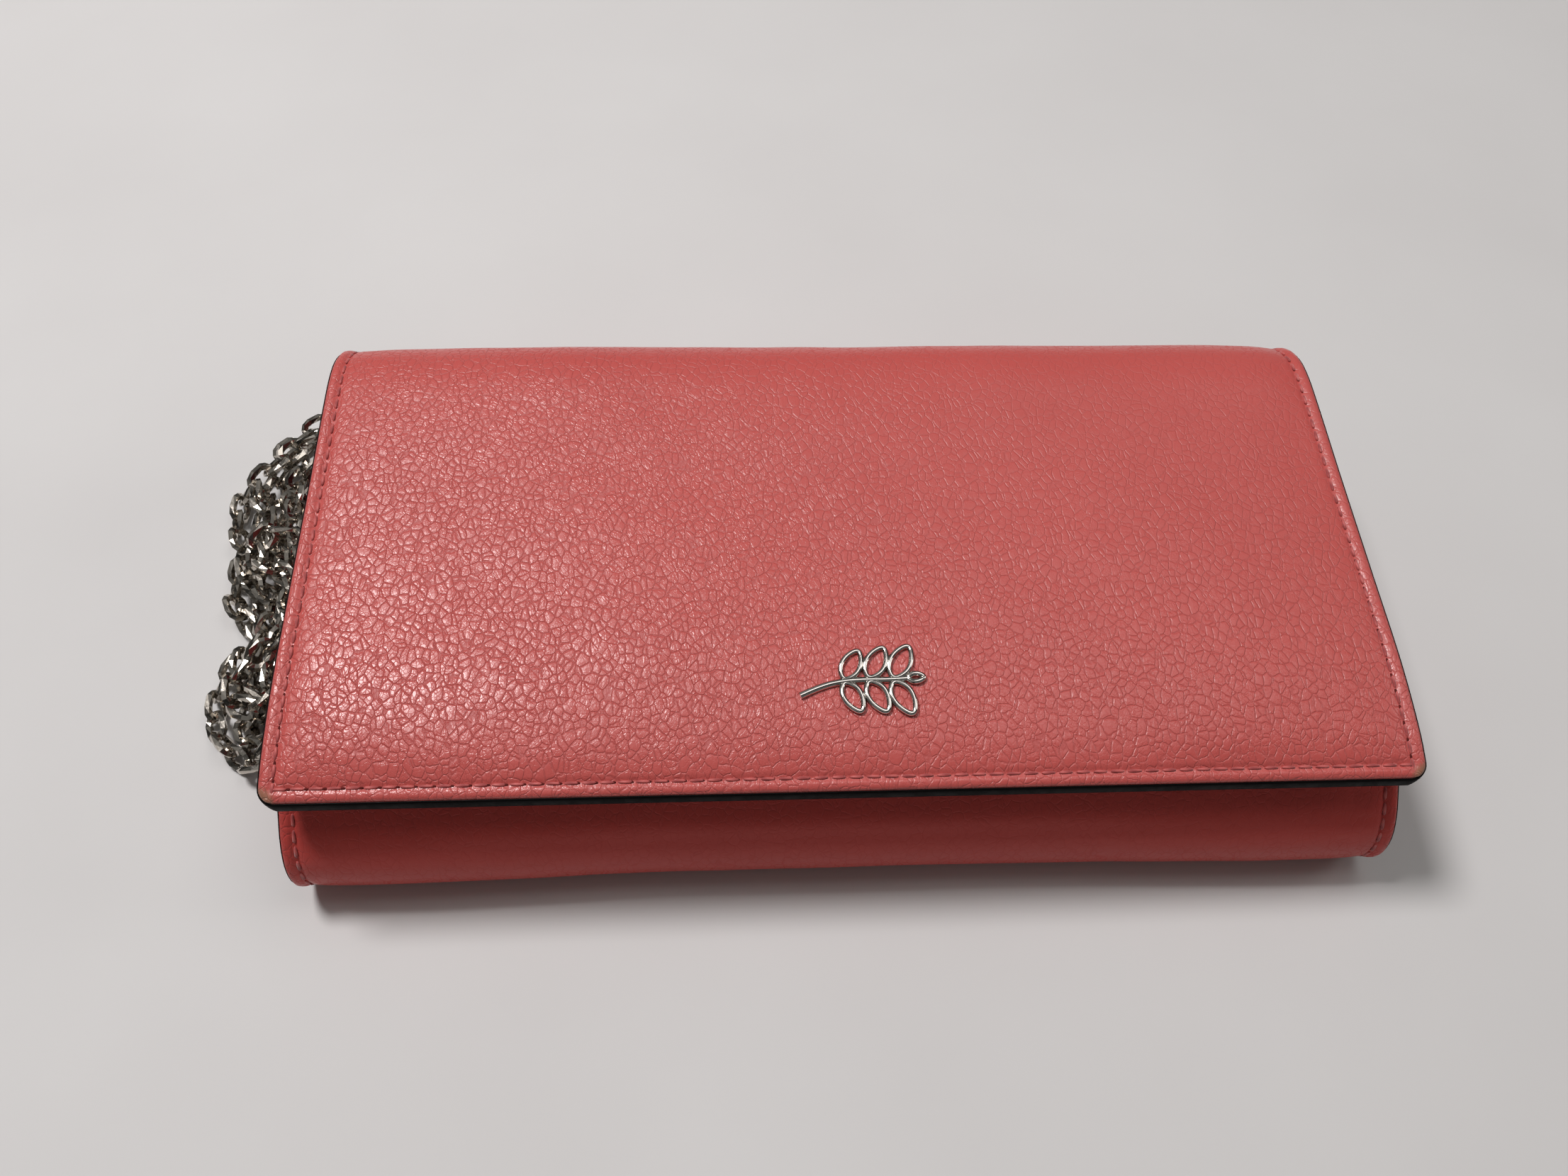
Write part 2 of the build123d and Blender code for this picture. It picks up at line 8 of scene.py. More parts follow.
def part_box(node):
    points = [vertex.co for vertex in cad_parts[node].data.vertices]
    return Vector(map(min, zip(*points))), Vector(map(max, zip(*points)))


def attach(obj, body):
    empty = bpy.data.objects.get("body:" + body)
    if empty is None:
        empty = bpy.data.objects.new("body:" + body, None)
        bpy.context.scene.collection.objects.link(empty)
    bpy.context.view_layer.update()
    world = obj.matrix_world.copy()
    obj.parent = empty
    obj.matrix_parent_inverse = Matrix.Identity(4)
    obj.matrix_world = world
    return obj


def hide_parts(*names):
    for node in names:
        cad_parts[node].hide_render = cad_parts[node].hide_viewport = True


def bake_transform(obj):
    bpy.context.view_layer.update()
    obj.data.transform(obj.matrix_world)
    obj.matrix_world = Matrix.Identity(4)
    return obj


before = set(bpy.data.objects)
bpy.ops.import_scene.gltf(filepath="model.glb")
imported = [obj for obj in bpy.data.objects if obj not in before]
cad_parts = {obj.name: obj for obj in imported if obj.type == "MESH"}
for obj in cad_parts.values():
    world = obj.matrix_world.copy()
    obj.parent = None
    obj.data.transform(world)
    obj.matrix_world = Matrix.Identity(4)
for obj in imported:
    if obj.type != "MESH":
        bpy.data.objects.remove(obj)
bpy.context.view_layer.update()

# Flap wallet of coral pebbled calf on a curb chain. Outlines are in millimetres and turned
# to metres by MM; everything else is in metres, in the frame's own place.
MM = 0.001


# ---------------------------------------------------------------- small helpers
def placed(name, data):
    """A new object in the scene."""
    piece = bpy.data.objects.new(name, data)
    bpy.context.scene.collection.objects.link(piece)
    return piece


def new_mesh(name, points, faces, edges=()):
    """A mesh from its points, in metres, and their numbers in each face."""
    mesh = bpy.data.meshes.new(name)
    mesh.from_pydata(points, edges, faces)
    mesh.update()
    return mesh


def finished(piece, material, smooth=True):
    """Gives a whole piece one material and one kind of shading."""
    mesh = piece.data
    mesh.materials.clear()
    mesh.materials.append(material)
    mesh.polygons.foreach_set("use_smooth", [smooth] * len(mesh.polygons))
    return piece


def converted(piece, name):
    """A piece as a plain mesh with its modifiers applied; the piece itself goes."""
    bpy.context.view_layer.update()
    graph = bpy.context.evaluated_depsgraph_get()
    mesh = bpy.data.meshes.new_from_object(piece.evaluated_get(graph))
    mesh.name = name
    old = piece.data
    bpy.data.objects.remove(piece)
    if isinstance(old, bpy.types.Mesh):
        bpy.data.meshes.remove(old)
    return placed(name, mesh)


def clamp(value):
    return max(0.0, min(1.0, value))


def linear(code, shade=1.0):
    """sRGB hex to the linear colour that a shader takes, darkened by a shade."""
    parts = [int(code[i:i + 2], 16) / 255 for i in (1, 3, 5)]
    parts = [c / 12.92 if c <= 0.04045 else ((c + 0.055) / 1.055) ** 2.4 for c in parts]
    return [c * shade for c in parts] + [1.0]


def add(tree, kind, inputs=None, output=0, **settings):
    """Adds a node with its settings, its inputs set or linked; gives one output, or the node."""
    made = tree.nodes.new(kind)
    for key, value in settings.items():
        setattr(made, key, value)
    for key, value in (inputs or {}).items():
        if isinstance(value, bpy.types.NodeSocket):
            tree.links.new(value, made.inputs[key])
        else:
            made.inputs[key].default_value = value
    return made if output is None else made.outputs[output]


def new_material(name):
    """A material with an empty node tree."""
    material = bpy.data.materials.new(name)
    material.use_nodes = True
    material.node_tree.nodes.clear()
    return material, material.node_tree


def surface(tree, inputs):
    """Ends a material's tree with its shader."""
    shader = add(tree, "ShaderNodeBsdfPrincipled", inputs)
    add(tree, "ShaderNodeOutputMaterial", {"Surface": shader}, None)


# ---------------------------------------------------------------- camera
def set_camera():
    """A hand-held view from the front and above, a little to the left."""
    pitch, yaw, roll = math.radians(55.03), math.radians(4.8), math.radians(2.99)
    ahead = Vector((
        math.sin(yaw) * math.cos(pitch), math.cos(yaw) * math.cos(pitch), -math.sin(pitch),
    ))
    level = ahead.cross(Vector((0, 0, 1))).normalized()
    upright = level.cross(ahead)
    across = math.cos(roll) * level + math.sin(roll) * upright
    up = math.cos(roll) * upright - math.sin(roll) * level
    data = bpy.data.cameras.new("camera")
    data.sensor_width = 36.0
    data.lens = 27.67
    camera = placed("camera", data)
    turn = Matrix((across, up, -ahead)).transposed().to_4x4()
    camera.matrix_world = Matrix.Translation((-0.0211, -0.1350, 0.2131)) @ turn
    bpy.context.scene.camera = camera


set_camera()


# ---------------------------------------------------------------- materials
SMOOTH = {"interpolation_type": "SMOOTHSTEP"}  # map ranges that ease in and out
COLOUR = {"data_type": "RGBA"}  # mixes of two colours: inputs 6 and 7, output 2
EDGES = {"feature": "DISTANCE_TO_EDGE"}  # cells told by how far their edge is

CORAL = "#C25651"
CORAL_MOTTLE_AND_CREASE_SHADE = "#8E2F2F"  # the dark end of the random dye mottle, and painted shade in the creases
RUBBED_TAN = "#9C6B55"  # the dye is rubbed through at the flap's corners
GRAIN_CELL = 1.5 * MM  # pebble of the calf's printed grain
FINE_CELL = 0.6 * MM  # wrinkles inside a pebble
PORE = 0.25 * MM
GRAIN_PATCH = 4 * MM  # the pebbles run together here and part there
DYE_PATCH = 35 * MM
GRAIN_TURN = (0, 0, math.radians(28))  # pebbles lie aslant and a little drawn out
GRAIN_STRETCH = (1, 0.78, 1)
GRAIN_BENDS = ((5 * MM, 1.5 * MM, 2.0), (1.1 * MM, 0.4 * MM, 1.0))  # size, reach and detail
CALF_GLOSS = 0.25
CALF_IOR = 1.48


def pebbled_calf(name, colour, shine, depth, on_map=True):
    """Calf with a printed pebble grain: domed cells, creases darkened in colour as painted shade, a
    semi-gloss finish.
    """
    material, tree = new_material(name)
    if on_map:
        place = add(tree, "ShaderNodeUVMap", uv_map="hide")
        strength = add(tree, "ShaderNodeAttribute", output="Fac", attribute_name="grain")
    else:
        place = add(tree, "ShaderNodeTexCoord", output="Object")
        strength = 0.6
    turned = add(
        tree, "ShaderNodeMapping", {"Vector": place, "Rotation": GRAIN_TURN, "Scale": GRAIN_STRETCH}
    )
    warped = turned
    for size, reach, detail in GRAIN_BENDS:
        inputs = {"Vector": turned, "Scale": 1 / size, "Detail": detail}
        drift = add(tree, "ShaderNodeTexNoise", inputs, "Color")
        pull = add(tree, "ShaderNodeVectorMath", {0: drift, 1: (0.5, 0.5, 0.5)}, operation="SUBTRACT")
        pull = add(tree, "ShaderNodeVectorMath", {0: pull, 3: reach}, operation="SCALE")
        warped = add(tree, "ShaderNodeVectorMath", {0: warped, 1: pull}, operation="ADD")
    cells, fine = (
        add(tree, "ShaderNodeTexVoronoi", {"Vector": warped, "Scale": 1 / size, "Randomness": loose},
            "Distance", **EDGES)
        for size, loose in ((GRAIN_CELL, 0.9), (FINE_CELL, 1.0))
    )
    pores, patchy = (
        add(tree, "ShaderNodeTexNoise", {"Vector": turned, "Scale": 1 / size, "Detail": detail}, "Fac")
        for size, detail in ((PORE, 3.0), (GRAIN_PATCH, 1.0))
    )
    joined = add(tree, "ShaderNodeMapRange", {0: patchy, 1: 0.45, 2: 0.75, 4: 0.05}, **SMOOTH)
    cells = add(tree, "ShaderNodeMath", {0: cells, 1: joined})
    joined = add(tree, "ShaderNodeMapRange", {0: patchy, 1: 0.34, 2: 0.62, 3: 0.10, 4: 0.0}, **SMOOTH)
    fine = add(tree, "ShaderNodeMath", {0: fine, 1: joined})
    valley, dome, wrinkle = (
        add(tree, "ShaderNodeMapRange", {0: distance, 2: reach}, **SMOOTH)
        for distance, reach in ((cells, 0.10), (cells, 0.42), (fine, 0.18))
    )
    height = 0.0
    for layer, share in ((valley, 0.62), (dome, 0.26), (wrinkle, 0.20), (pores, 0.07)):
        height = add(tree, "ShaderNodeMath", {0: layer, 1: share, 2: height}, operation="MULTIPLY_ADD")
    height = add(tree, "ShaderNodeMath", {0: height, 1: strength}, operation="MULTIPLY")
    dye = add(
        tree, "ShaderNodeTexNoise", {"Vector": place, "Scale": 1 / DYE_PATCH, "Detail": 3.0}, "Fac"
    )
    cloud = add(tree, "ShaderNodeMapRange", {0: dye, 1: 0.3, 2: 0.7, 4: 0.06}, **SMOOTH)
    skin = add(tree, "ShaderNodeMix", {0: cloud, 6: linear(colour), 7: linear(CORAL_MOTTLE_AND_CREASE_SHADE)}, 2, **COLOUR)
    # painted shade: the grain's valleys are darkened towards the crease colour, where shadow falls
    shade = add(tree, "ShaderNodeMath", {0: valley, 1: -0.24, 2: 0.24}, operation="MULTIPLY_ADD")
    shade = add(tree, "ShaderNodeMath", {0: shade, 1: strength}, operation="MULTIPLY")
    skin = add(tree, "ShaderNodeMix", {0: shade, 6: skin, 7: linear(CORAL_MOTTLE_AND_CREASE_SHADE)}, 2, **COLOUR)
    if on_map:
        rubbed = add(tree, "ShaderNodeAttribute", output="Fac", attribute_name="rub")
        speckle = add(tree, "ShaderNodeMath", {0: pores, 1: dye})
        rubbed = add(tree, "ShaderNodeMath", {0: speckle, 1: 0.35, 2: rubbed}, operation="MULTIPLY_ADD")
        rubbed = add(tree, "ShaderNodeMapRange", {0: rubbed, 1: 0.75, 2: 1.0}, **SMOOTH)
        skin = add(tree, "ShaderNodeMix", {0: rubbed, 6: skin, 7: linear(RUBBED_TAN)}, 2, **COLOUR)
    finish = add(tree, "ShaderNodeMapRange", {0: valley, 3: CALF_GLOSS + 0.2, 4: CALF_GLOSS}, **SMOOTH)
    finish = add(tree, "ShaderNodeMath", {0: pores, 1: 0.12, 2: finish}, operation="MULTIPLY_ADD")
    surface(tree, {
        "Base Color": skin, "Roughness": finish, "IOR": CALF_IOR, "Specular IOR Level": shine,
        "Normal": add(tree, "ShaderNodeBump", {"Height": height, "Strength": 1.0, "Distance": depth}),
    })
    return material


def smooth_calf(name, colour, rough):
    """Thin skiver with a plain pressed grain, used inside: fine matt cells, a soft bloom."""
    material, tree = new_material(name)
    place = add(tree, "ShaderNodeTexCoord", output="Object")
    pores, dye = (
        add(tree, "ShaderNodeTexNoise", {"Vector": place, "Scale": 1 / size, "Detail": detail}, "Fac")
        for size, detail in ((0.5 * MM, 4.0), (25 * MM, 2.0))
    )
    inputs = {"Vector": place, "Scale": 1 / (0.9 * MM)}
    cells = add(tree, "ShaderNodeTexVoronoi", inputs, "Distance", **EDGES)
    cells = add(tree, "ShaderNodeMapRange", {0: cells, 2: 0.2}, **SMOOTH)
    height = add(tree, "ShaderNodeMath", {0: pores, 1: 0.5, 2: cells}, operation="MULTIPLY_ADD")
    cloud = add(tree, "ShaderNodeMapRange", {0: dye, 1: 0.35, 2: 0.7}, **SMOOTH)
    skin = {0: cloud, 6: linear(colour), 7: linear(colour, 0.8)}
    finish = {0: pores, 1: 0.3, 2: 0.7, 3: rough - 0.06, 4: rough + 0.1}
    surface(tree, {
        "Base Color": add(tree, "ShaderNodeMix", skin, 2, **COLOUR),
        "Roughness": add(tree, "ShaderNodeMapRange", finish, **SMOOTH),
        "IOR": CALF_IOR, "Sheen Weight": 0.08,
        "Normal": add(tree, "ShaderNodeBump", {"Height": height, "Strength": 1.0, "Distance": 0.04 * MM}),
    })
    return material


def painted_edge():
    """Black acrylic edge paint, built up in coats: a low gloss with faint brush waves."""
    material, tree = new_material("acrylic_edge_paint_black")
    place = add(tree, "ShaderNodeTexCoord", output="Object")
    inputs = {"Vector": place, "Scale": 1 / (1.8 * MM), "Detail": 2.0}
    wave = add(tree, "ShaderNodeTexNoise", inputs, "Fac")
    paint = {0: wave, 6: linear("#030303"), 7: linear("#0C0A0A")}
    finish = {0: wave, 1: 0.3, 2: 0.7, 3: 0.42, 4: 0.58}
    surface(tree, {
        "Base Color": add(tree, "ShaderNodeMix", paint, 2, **COLOUR),
        "Roughness": add(tree, "ShaderNodeMapRange", finish, **SMOOTH),
        "Specular IOR Level": 0.06,
        "Normal": add(tree, "ShaderNodeBump", {"Height": wave, "Strength": 1.0, "Distance": 0.08 * MM}),
    })
    return material


def polished_metal(name, colour, rough):
    """Plated metal, buffed: a clear mirror with faint waves and a few hair scratches."""
    material, tree = new_material(name)
    place = add(tree, "ShaderNodeTexCoord", output="Object")
    inputs = {"Vector": place, "Scale": 1 / (1.2 * MM), "Detail": 2.0}
    wave = add(tree, "ShaderNodeTexNoise", inputs, "Fac")
    inputs = {"Vector": place, "Scale": 1 / (0.3 * MM), "Detail": 4.0, "Distortion": 2.0}
    hair = add(tree, "ShaderNodeTexNoise", inputs, "Fac")
    plate = {0: hair, 6: linear(colour), 7: linear(colour, 0.82)}
    finish = {0: hair, 1: 0.3, 2: 0.75, 3: rough, 4: rough + 0.1}
    surface(tree, {
        "Base Color": add(tree, "ShaderNodeMix", plate, 2, **COLOUR),
        "Roughness": add(tree, "ShaderNodeMapRange", finish, **SMOOTH),
        "Metallic": 1.0,
        "Normal": add(tree, "ShaderNodeBump", {"Height": wave, "Strength": 1.0, "Distance": 0.02 * MM}),
    })
    return material


def spun_thread():
    """Waxed polyester thread: a tight twist that catches the light, low sheen."""
    material, tree = new_material("polyester_thread_coral")
    place = add(tree, "ShaderNodeTexCoord", output="Object")
    inputs = {"Vector": place, "Scale": 1 / (5.5 * MM), "Distortion": 1.0}
    twist = add(tree, "ShaderNodeTexWave", inputs, "Fac", bands_direction="DIAGONAL")
    yarn = {0: twist, 6: linear("#9C3B3A"), 7: linear("#C25955")}
    surface(tree, {
        "Base Color": add(tree, "ShaderNodeMix", yarn, 2, **COLOUR),
        "Roughness": add(tree, "ShaderNodeMapRange", {0: twist, 3: 0.75, 4: 0.55}, **SMOOTH),
        "IOR": 1.57, "Sheen Weight": 0.3,
        "Normal": add(tree, "ShaderNodeBump", {"Height": twist, "Strength": 1.0, "Distance": 0.06 * MM}),
    })
    return material


def needle_hole():
    """Painted shadow inside a needle hole, with the leather's raw red fibres just showing."""
    material, tree = new_material("needle_hole_painted_shade_and_fibre")
    place = add(tree, "ShaderNodeTexCoord", output="Object")
    fibre = add(tree, "ShaderNodeTexNoise", {"Vector": place, "Scale": 1 / (0.2 * MM)}, "Fac")
    raw = {0: fibre, 6: linear("#3A0C0B"), 7: linear("#74231F")}
    surface(tree, {
        "Base Color": add(tree, "ShaderNodeMix", raw, 2, **COLOUR), "Roughness": 0.95, "IOR": 1.4,
    })
    return material


def woven_tape():
    """Herringbone polyester zip tape: slanting ribs, quite matt."""
    material, tree = new_material("polyester_zip_tape")
    place = add(tree, "ShaderNodeTexCoord", output="Object")
    warp, weft = (
        add(tree, "ShaderNodeTexWave", {"Vector": place, "Scale": 1 / (3.5 * MM)}, "Fac",
            bands_direction=way)
        for way in ("X", "DIAGONAL")
    )
    weave = add(tree, "ShaderNodeMath", {0: warp, 1: weft}, operation="MULTIPLY")
    yarn = {0: weave, 6: linear("#7C2E30"), 7: linear("#A94A4A")}
    surface(tree, {
        "Base Color": add(tree, "ShaderNodeMix", yarn, 2, **COLOUR),
        "Roughness": 0.85, "Sheen Weight": 0.25,
        "Normal": add(tree, "ShaderNodeBump", {"Height": weave, "Strength": 1.0, "Distance": 0.12 * MM}),
    })
    return material


def table_paper():
    """Matt off-white card with a faint pulp mottle."""
    material, tree = new_material("matt_card")
    place = add(tree, "ShaderNodeTexCoord", output="Object")
    pulp, tooth = (
        add(tree, "ShaderNodeTexNoise", {"Vector": place, "Scale": 1 / size, "Detail": detail}, "Fac")
        for size, detail in ((90 * MM, 5.0), (1.5 * MM, 3.0))
    )
    card = {0: pulp, 6: linear("#D7D6D5"), 7: linear("#CCCAC9")}
    finish = {0: pulp, 1: 0.3, 2: 0.7, 3: 0.82, 4: 0.9}
    surface(tree, {
        "Base Color": add(tree, "ShaderNodeMix", card, 2, **COLOUR),
        "Roughness": add(tree, "ShaderNodeMapRange", finish, **SMOOTH),
        "IOR": 1.45,
        "Normal": add(tree, "ShaderNodeBump", {"Height": tooth, "Strength": 0.5, "Distance": 0.03 * MM}),
    })
    return material


CALF = pebbled_calf("pebbled_calf_coral", CORAL, 0.62, 0.15 * MM)
# the same hide below the flap, less handled and so less shiny, in a darker, redder colour that is painted
# shade
CALF_BODY_PAINTED_SHADE = pebbled_calf("pebbled_calf_coral_shaded", "#BE4A44", 0.18, 0.15 * MM)
CALF_STRAP = pebbled_calf("pebbled_calf_strap", CORAL, 0.62, 0.08 * MM, on_map=False)
INNER_CALF = smooth_calf("skiver_calf_coral", "#B95855", 0.46)
LINING_CALF = smooth_calf("lining_skiver_red", "#A34546", 0.52)
EDGE_PAINT = painted_edge()
CHAIN_METAL = polished_metal("nickel_plated_brass_chain", "#C9C2B8", 0.12)
HARDWARE = polished_metal("nickel_plated_hardware", "#D6D2CC", 0.09)
ORNAMENT_METAL = polished_metal("polished_palladium_plate", "#DAD5CF", 0.07)
SNAP_METAL = polished_metal("nickel_plated_steel_snap", "#C4C1BC", 0.2)
THREAD = spun_thread()
HOLE_SHADE = needle_hole()
TAPE = woven_tape()
BOARD = smooth_calf("grey_bonding_board", "#8C8A86", 0.8)

# ---------------------------------------------------------------- chain
# The route leaves the left jump ring, lies in a heap along the wallet's left side, then
# runs behind the spine to the right jump ring.
CHAIN_ROUTE = [
    (-104.4, 30.0, 5.0), (-106.4, 30.0, 4.4), (-110.2, 30.4, 3.4), (-113.0, 27.0, 2.8),
    (-110.6, 20.5, 2.8), (-110.2, 13.5, 2.8), (-108.4, 7.0, 2.8), (-105.2, 1.0, 3.2),
    (-105.4, -5.5, 3.0), (-106.4, -12.0, 2.8), (-107.0, -18.0, 2.8), (-105.4, -24.0, 2.8),
    (-101.2, -24.6, 2.8), (-100.4, -18.5, 2.8), (-101.8, -12.0, 2.8), (-101.4, -5.0, 2.8),
    (-101.0, 2.0, 2.8), (-103.4, 8.5, 2.8), (-105.2, 14.5, 3.0), (-103.0, 20.6, 4.2),
    (-106.6, 23.4, 6.2), (-109.0, 18.4, 6.7), (-107.0, 12.0, 6.7), (-106.4, 5.5, 6.7),
    (-103.2, 0.0, 6.7), (-103.8, -7.0, 6.7), (-104.2, -13.5, 6.4), (-106.6, -19.5, 5.6),
    # second strand on the table, out to the rear and back
    (-110.8, -23.6, 3.4), (-112.0, -18.0, 2.8), (-110.4, -11.5, 2.8), (-110.2, -5.0, 2.8),
    (-108.2, 1.0, 2.8), (-111.6, 7.0, 2.8), (-114.4, 13.0, 2.8), (-114.6, 20.0, 2.8),
    (-116.8, 27.0, 2.8), (-117.0, 34.0, 2.8), (-115.2, 41.0, 2.8), (-112.0, 46.5, 2.8),
    (-108.6, 50.8, 2.8), (-110.0, 56.4, 2.8), (-114.6, 54.8, 2.8), (-117.4, 49.5, 2.8),
    (-119.6, 43.0, 2.8), (-121.2, 36.5, 2.8), (-121.0, 30.0, 2.8), (-119.4, 24.0, 2.8),
    (-119.2, 17.5, 2.8), (-118.8, 11.5, 2.8), (-115.8, 6.0, 2.8), (-111.8, 1.0, 3.2),
    (-113.8, -4.5, 2.8), (-114.8, -10.5, 2.8), (-115.0, -16.5, 2.8), (-113.6, -22.6, 3.2),
    # over the first layer, in wide bends
    (-109.4, -27.0, 4.8), (-105.8, -23.0, 6.4), (-108.4, -16.8, 6.8), (-113.0, -13.2, 6.8),
    (-117.2, -9.4, 6.6), (-116.0, -3.4, 6.6), (-112.6, 1.8, 6.6), (-112.6, 7.4, 6.8),
    (-117.0, 10.8, 6.8), (-121.2, 14.6, 6.6), (-121.0, 20.6, 6.6), (-117.4, 25.0, 6.8),
    (-118.8, 31.0, 6.8), (-123.2, 34.8, 6.6), (-122.8, 40.8, 6.6), (-119.0, 45.4, 6.6),
    (-116.0, 50.8, 6.4), (-111.2, 53.4, 6.4), (-108.6, 48.4, 6.6), (-111.6, 43.4, 6.8),
    (-115.0, 39.0, 6.8), (-113.6, 33.2, 7.2), (-112.2, 27.6, 7.2), (-114.8, 21.6, 6.8),
    (-112.6, 15.6, 6.8), (-108.6, 10.8, 8.6),
    # loose turns on top
    (-109.0, 4.6, 9.6), (-109.2, -1.8, 8.6), (-110.8, -8.0, 7.6), (-108.6, -13.6, 9.4),
    (-111.6, -18.4, 8.6), (-116.2, -17.0, 7.2), (-116.6, -11.6, 9.4), (-112.6, -7.4, 9.6),
    (-108.0, -3.0, 10.0), (-105.6, 3.0, 10.0), (-107.6, 9.0, 10.6), (-112.0, 12.6, 10.2),
    (-117.0, 14.8, 9.8), (-119.0, 19.4, 9.8), (-115.4, 23.6, 10.0), (-111.0, 22.4, 10.0),
    (-108.2, 17.0, 10.2), (-104.6, 11.6, 10.0), (-103.2, 5.4, 9.8), (-104.4, -1.6, 9.6),
    (-105.6, -8.4, 9.6), (-104.4, -15.4, 9.4), (-105.0, -22.0, 8.4), (-107.4, -27.2, 5.4),
    # outer strand, back to the rear and behind the spine
    (-111.4, -28.4, 2.8), (-115.4, -25.6, 2.8), (-120.0, -20.8, 2.8), (-121.6, -14.2, 2.8),
    (-120.8, -7.6, 2.8), (-117.2, -3.0, 2.8), (-115.6, 1.0, 2.8), (-119.4, 4.8, 2.8),
    (-123.2, 9.4, 2.8), (-123.6, 16.0, 2.8), (-123.2, 22.4, 2.8), (-126.4, 28.4, 2.8),
    (-127.6, 34.6, 2.8), (-126.0, 41.4, 2.8), (-122.2, 47.4, 2.8), (-119.0, 54.2, 2.8),
    (-113.4, 60.6, 2.8), (-105.0, 65.2, 2.8), (-84.0, 68.6, 2.8), (-54.0, 64.8, 2.8),
    (-16.0, 68.2, 2.8), (22.0, 64.6, 2.8), (58.0, 67.4, 2.8), (86.0, 68.8, 2.8),
    (101.0, 66.4, 2.8), (109.6, 59.4, 2.8), (113.2, 49.8, 2.8), (112.8, 41.2, 2.9),
    (110.0, 34.8, 3.4), (106.6, 30.8, 4.2), (104.4, 30.2, 5.0),
]

def route_spline(name, route):
    """Smooth line held by the route's points, as a bare mesh of edges."""
    curve = bpy.data.curves.new(name, "CURVE")
    curve.dimensions = "3D"
    curve.resolution_u = 8
    spline = curve.splines.new("NURBS")
    spline.points.add(len(route) - 1)
    for point, place in zip(spline.points, route):
        point.co = (*(c * MM for c in place), 1.0)
    spline.order_u = 3
    spline.use_endpoint_u = True
    return converted(placed(name, curve), name)


def link_shape():
    """One curb link: an oval of flattened, bevelled wire, lying along X."""
    length, width, wire, thick = 7.4 * MM, 5.6 * MM, 1.65 * MM, 1.4 * MM
    twist = 0.35  # how far the wire leans, as a curb link is wrung flat
    straight = (length - width) / 2
    radius = (width - wire) / 2
    sides, steps = 5, 13
    turns = [2 * math.pi * k / sides for k in range(sides)]
    section = [(wire / 2 * math.cos(a), thick / 2 * math.sin(a)) for a in turns]
    points, faces = [], []
    for i in range(steps):
        angle = 2 * math.pi * (i + 0.5) / steps
        cx = max(-straight, min(straight, 4 * straight * math.cos(angle))) + radius * math.cos(angle)
        cy = radius * math.sin(angle)
        lean = twist * math.sin(2 * angle)
        for across, up in section:
            a = across * math.cos(lean) - up * math.sin(lean)
            b = across * math.sin(lean) + up * math.cos(lean)
            points.append((cx + a * math.cos(angle), cy + a * math.sin(angle), b))
        for k in range(sides):
            a, b, c = sides * i, sides * ((i + 1) % steps), (k + 1) % sides
            faces.append((a + k, b + k, b + c, a + c))
    return new_mesh("curb_link", points, faces)


def along_path_tree(name):
    """Nodes that set copies of a shape along a path, each with a roll and a yaw of its own."""
    tree = bpy.data.node_groups.new(name, "GeometryNodeTree")
    face = tree.interface
    face.new_socket("Geometry", in_out="INPUT", socket_type="NodeSocketGeometry")
    face.new_socket("Shape", in_out="INPUT", socket_type="NodeSocketObject")
    for label in ("Pitch", "Roll", "Alternate roll", "Random roll", "Random yaw", "Start"):
        face.new_socket(label, in_out="INPUT", socket_type="NodeSocketFloat")
    face.new_socket("Material", in_out="INPUT", socket_type="NodeSocketMaterial")
    face.new_socket("Geometry", in_out="OUTPUT", socket_type="NodeSocketGeometry")
    given = add(tree, "NodeGroupInput", output=None).outputs
    curve = add(tree, "GeometryNodeMeshToCurve", {"Mesh": given["Geometry"]})
    span = add(tree, "GeometryNodeCurveLength", {0: curve})
    # in length mode the trim's own sockets are 4 and 5
    curve = add(tree, "GeometryNodeTrimCurve", {0: curve, 4: given["Start"], 5: span}, mode="LENGTH")
    inputs = {"Curve": curve, "Length": given["Pitch"]}
    curve = add(tree, "GeometryNodeResampleCurve", inputs, mode="LENGTH")
    level = add(tree, "GeometryNodeSetCurveNormal", {"Curve": curve}, mode="Z_UP")
    tangent = add(tree, "GeometryNodeInputTangent")
    normal = add(tree, "GeometryNodeInputNormal")
    aim = add(
        tree, "FunctionNodeAxesToRotation", {"Primary Axis": tangent, "Secondary Axis": normal},
        primary_axis="X", secondary_axis="Z",
    )
    index = add(tree, "GeometryNodeInputIndex")
    odd = add(tree, "ShaderNodeMath", {0: index, 1: 2.0}, operation="MODULO")
    inputs = {0: odd, 1: given["Alternate roll"], 2: given["Roll"]}
    roll = add(tree, "ShaderNodeMath", inputs, operation="MULTIPLY_ADD")
    chances = []
    for label, seed in (("Random roll", 5), ("Random yaw", 11)):
        low = add(tree, "ShaderNodeMath", {0: given[label], 1: -1.0}, operation="MULTIPLY")
        # a float draw's own sockets are 2 and 3, and its output is 1
        chances.append(add(tree, "FunctionNodeRandomValue", {2: low, 3: given[label], "Seed": seed}, 1))
    roll = add(tree, "ShaderNodeMath", {0: roll, 1: chances[0]})
    for axis, angle in (((1, 0, 0), roll), ((0, 0, 1), chances[1])):
        turn = add(tree, "FunctionNodeAxisAngleToRotation", {"Axis": axis, "Angle": angle})
        inputs = {"Rotation": aim, "Rotate By": turn}
        aim = add(tree, "FunctionNodeRotateRotation", inputs, rotation_space="LOCAL")
    shape = add(tree, "GeometryNodeObjectInfo", {"Object": given["Shape"]}, "Geometry")
    inputs = {"Points": level, "Instance": shape, "Rotation": aim}
    copies = add(tree, "GeometryNodeInstanceOnPoints", inputs)
    real = add(tree, "GeometryNodeRealizeInstances", {0: copies})
    done = add(tree, "GeometryNodeSetMaterial", {"Geometry": real, "Material": given["Material"]})
    add(tree, "NodeGroupOutput", {0: done}, None)
    return tree


ALONG_PATH = along_path_tree("set_along_path")


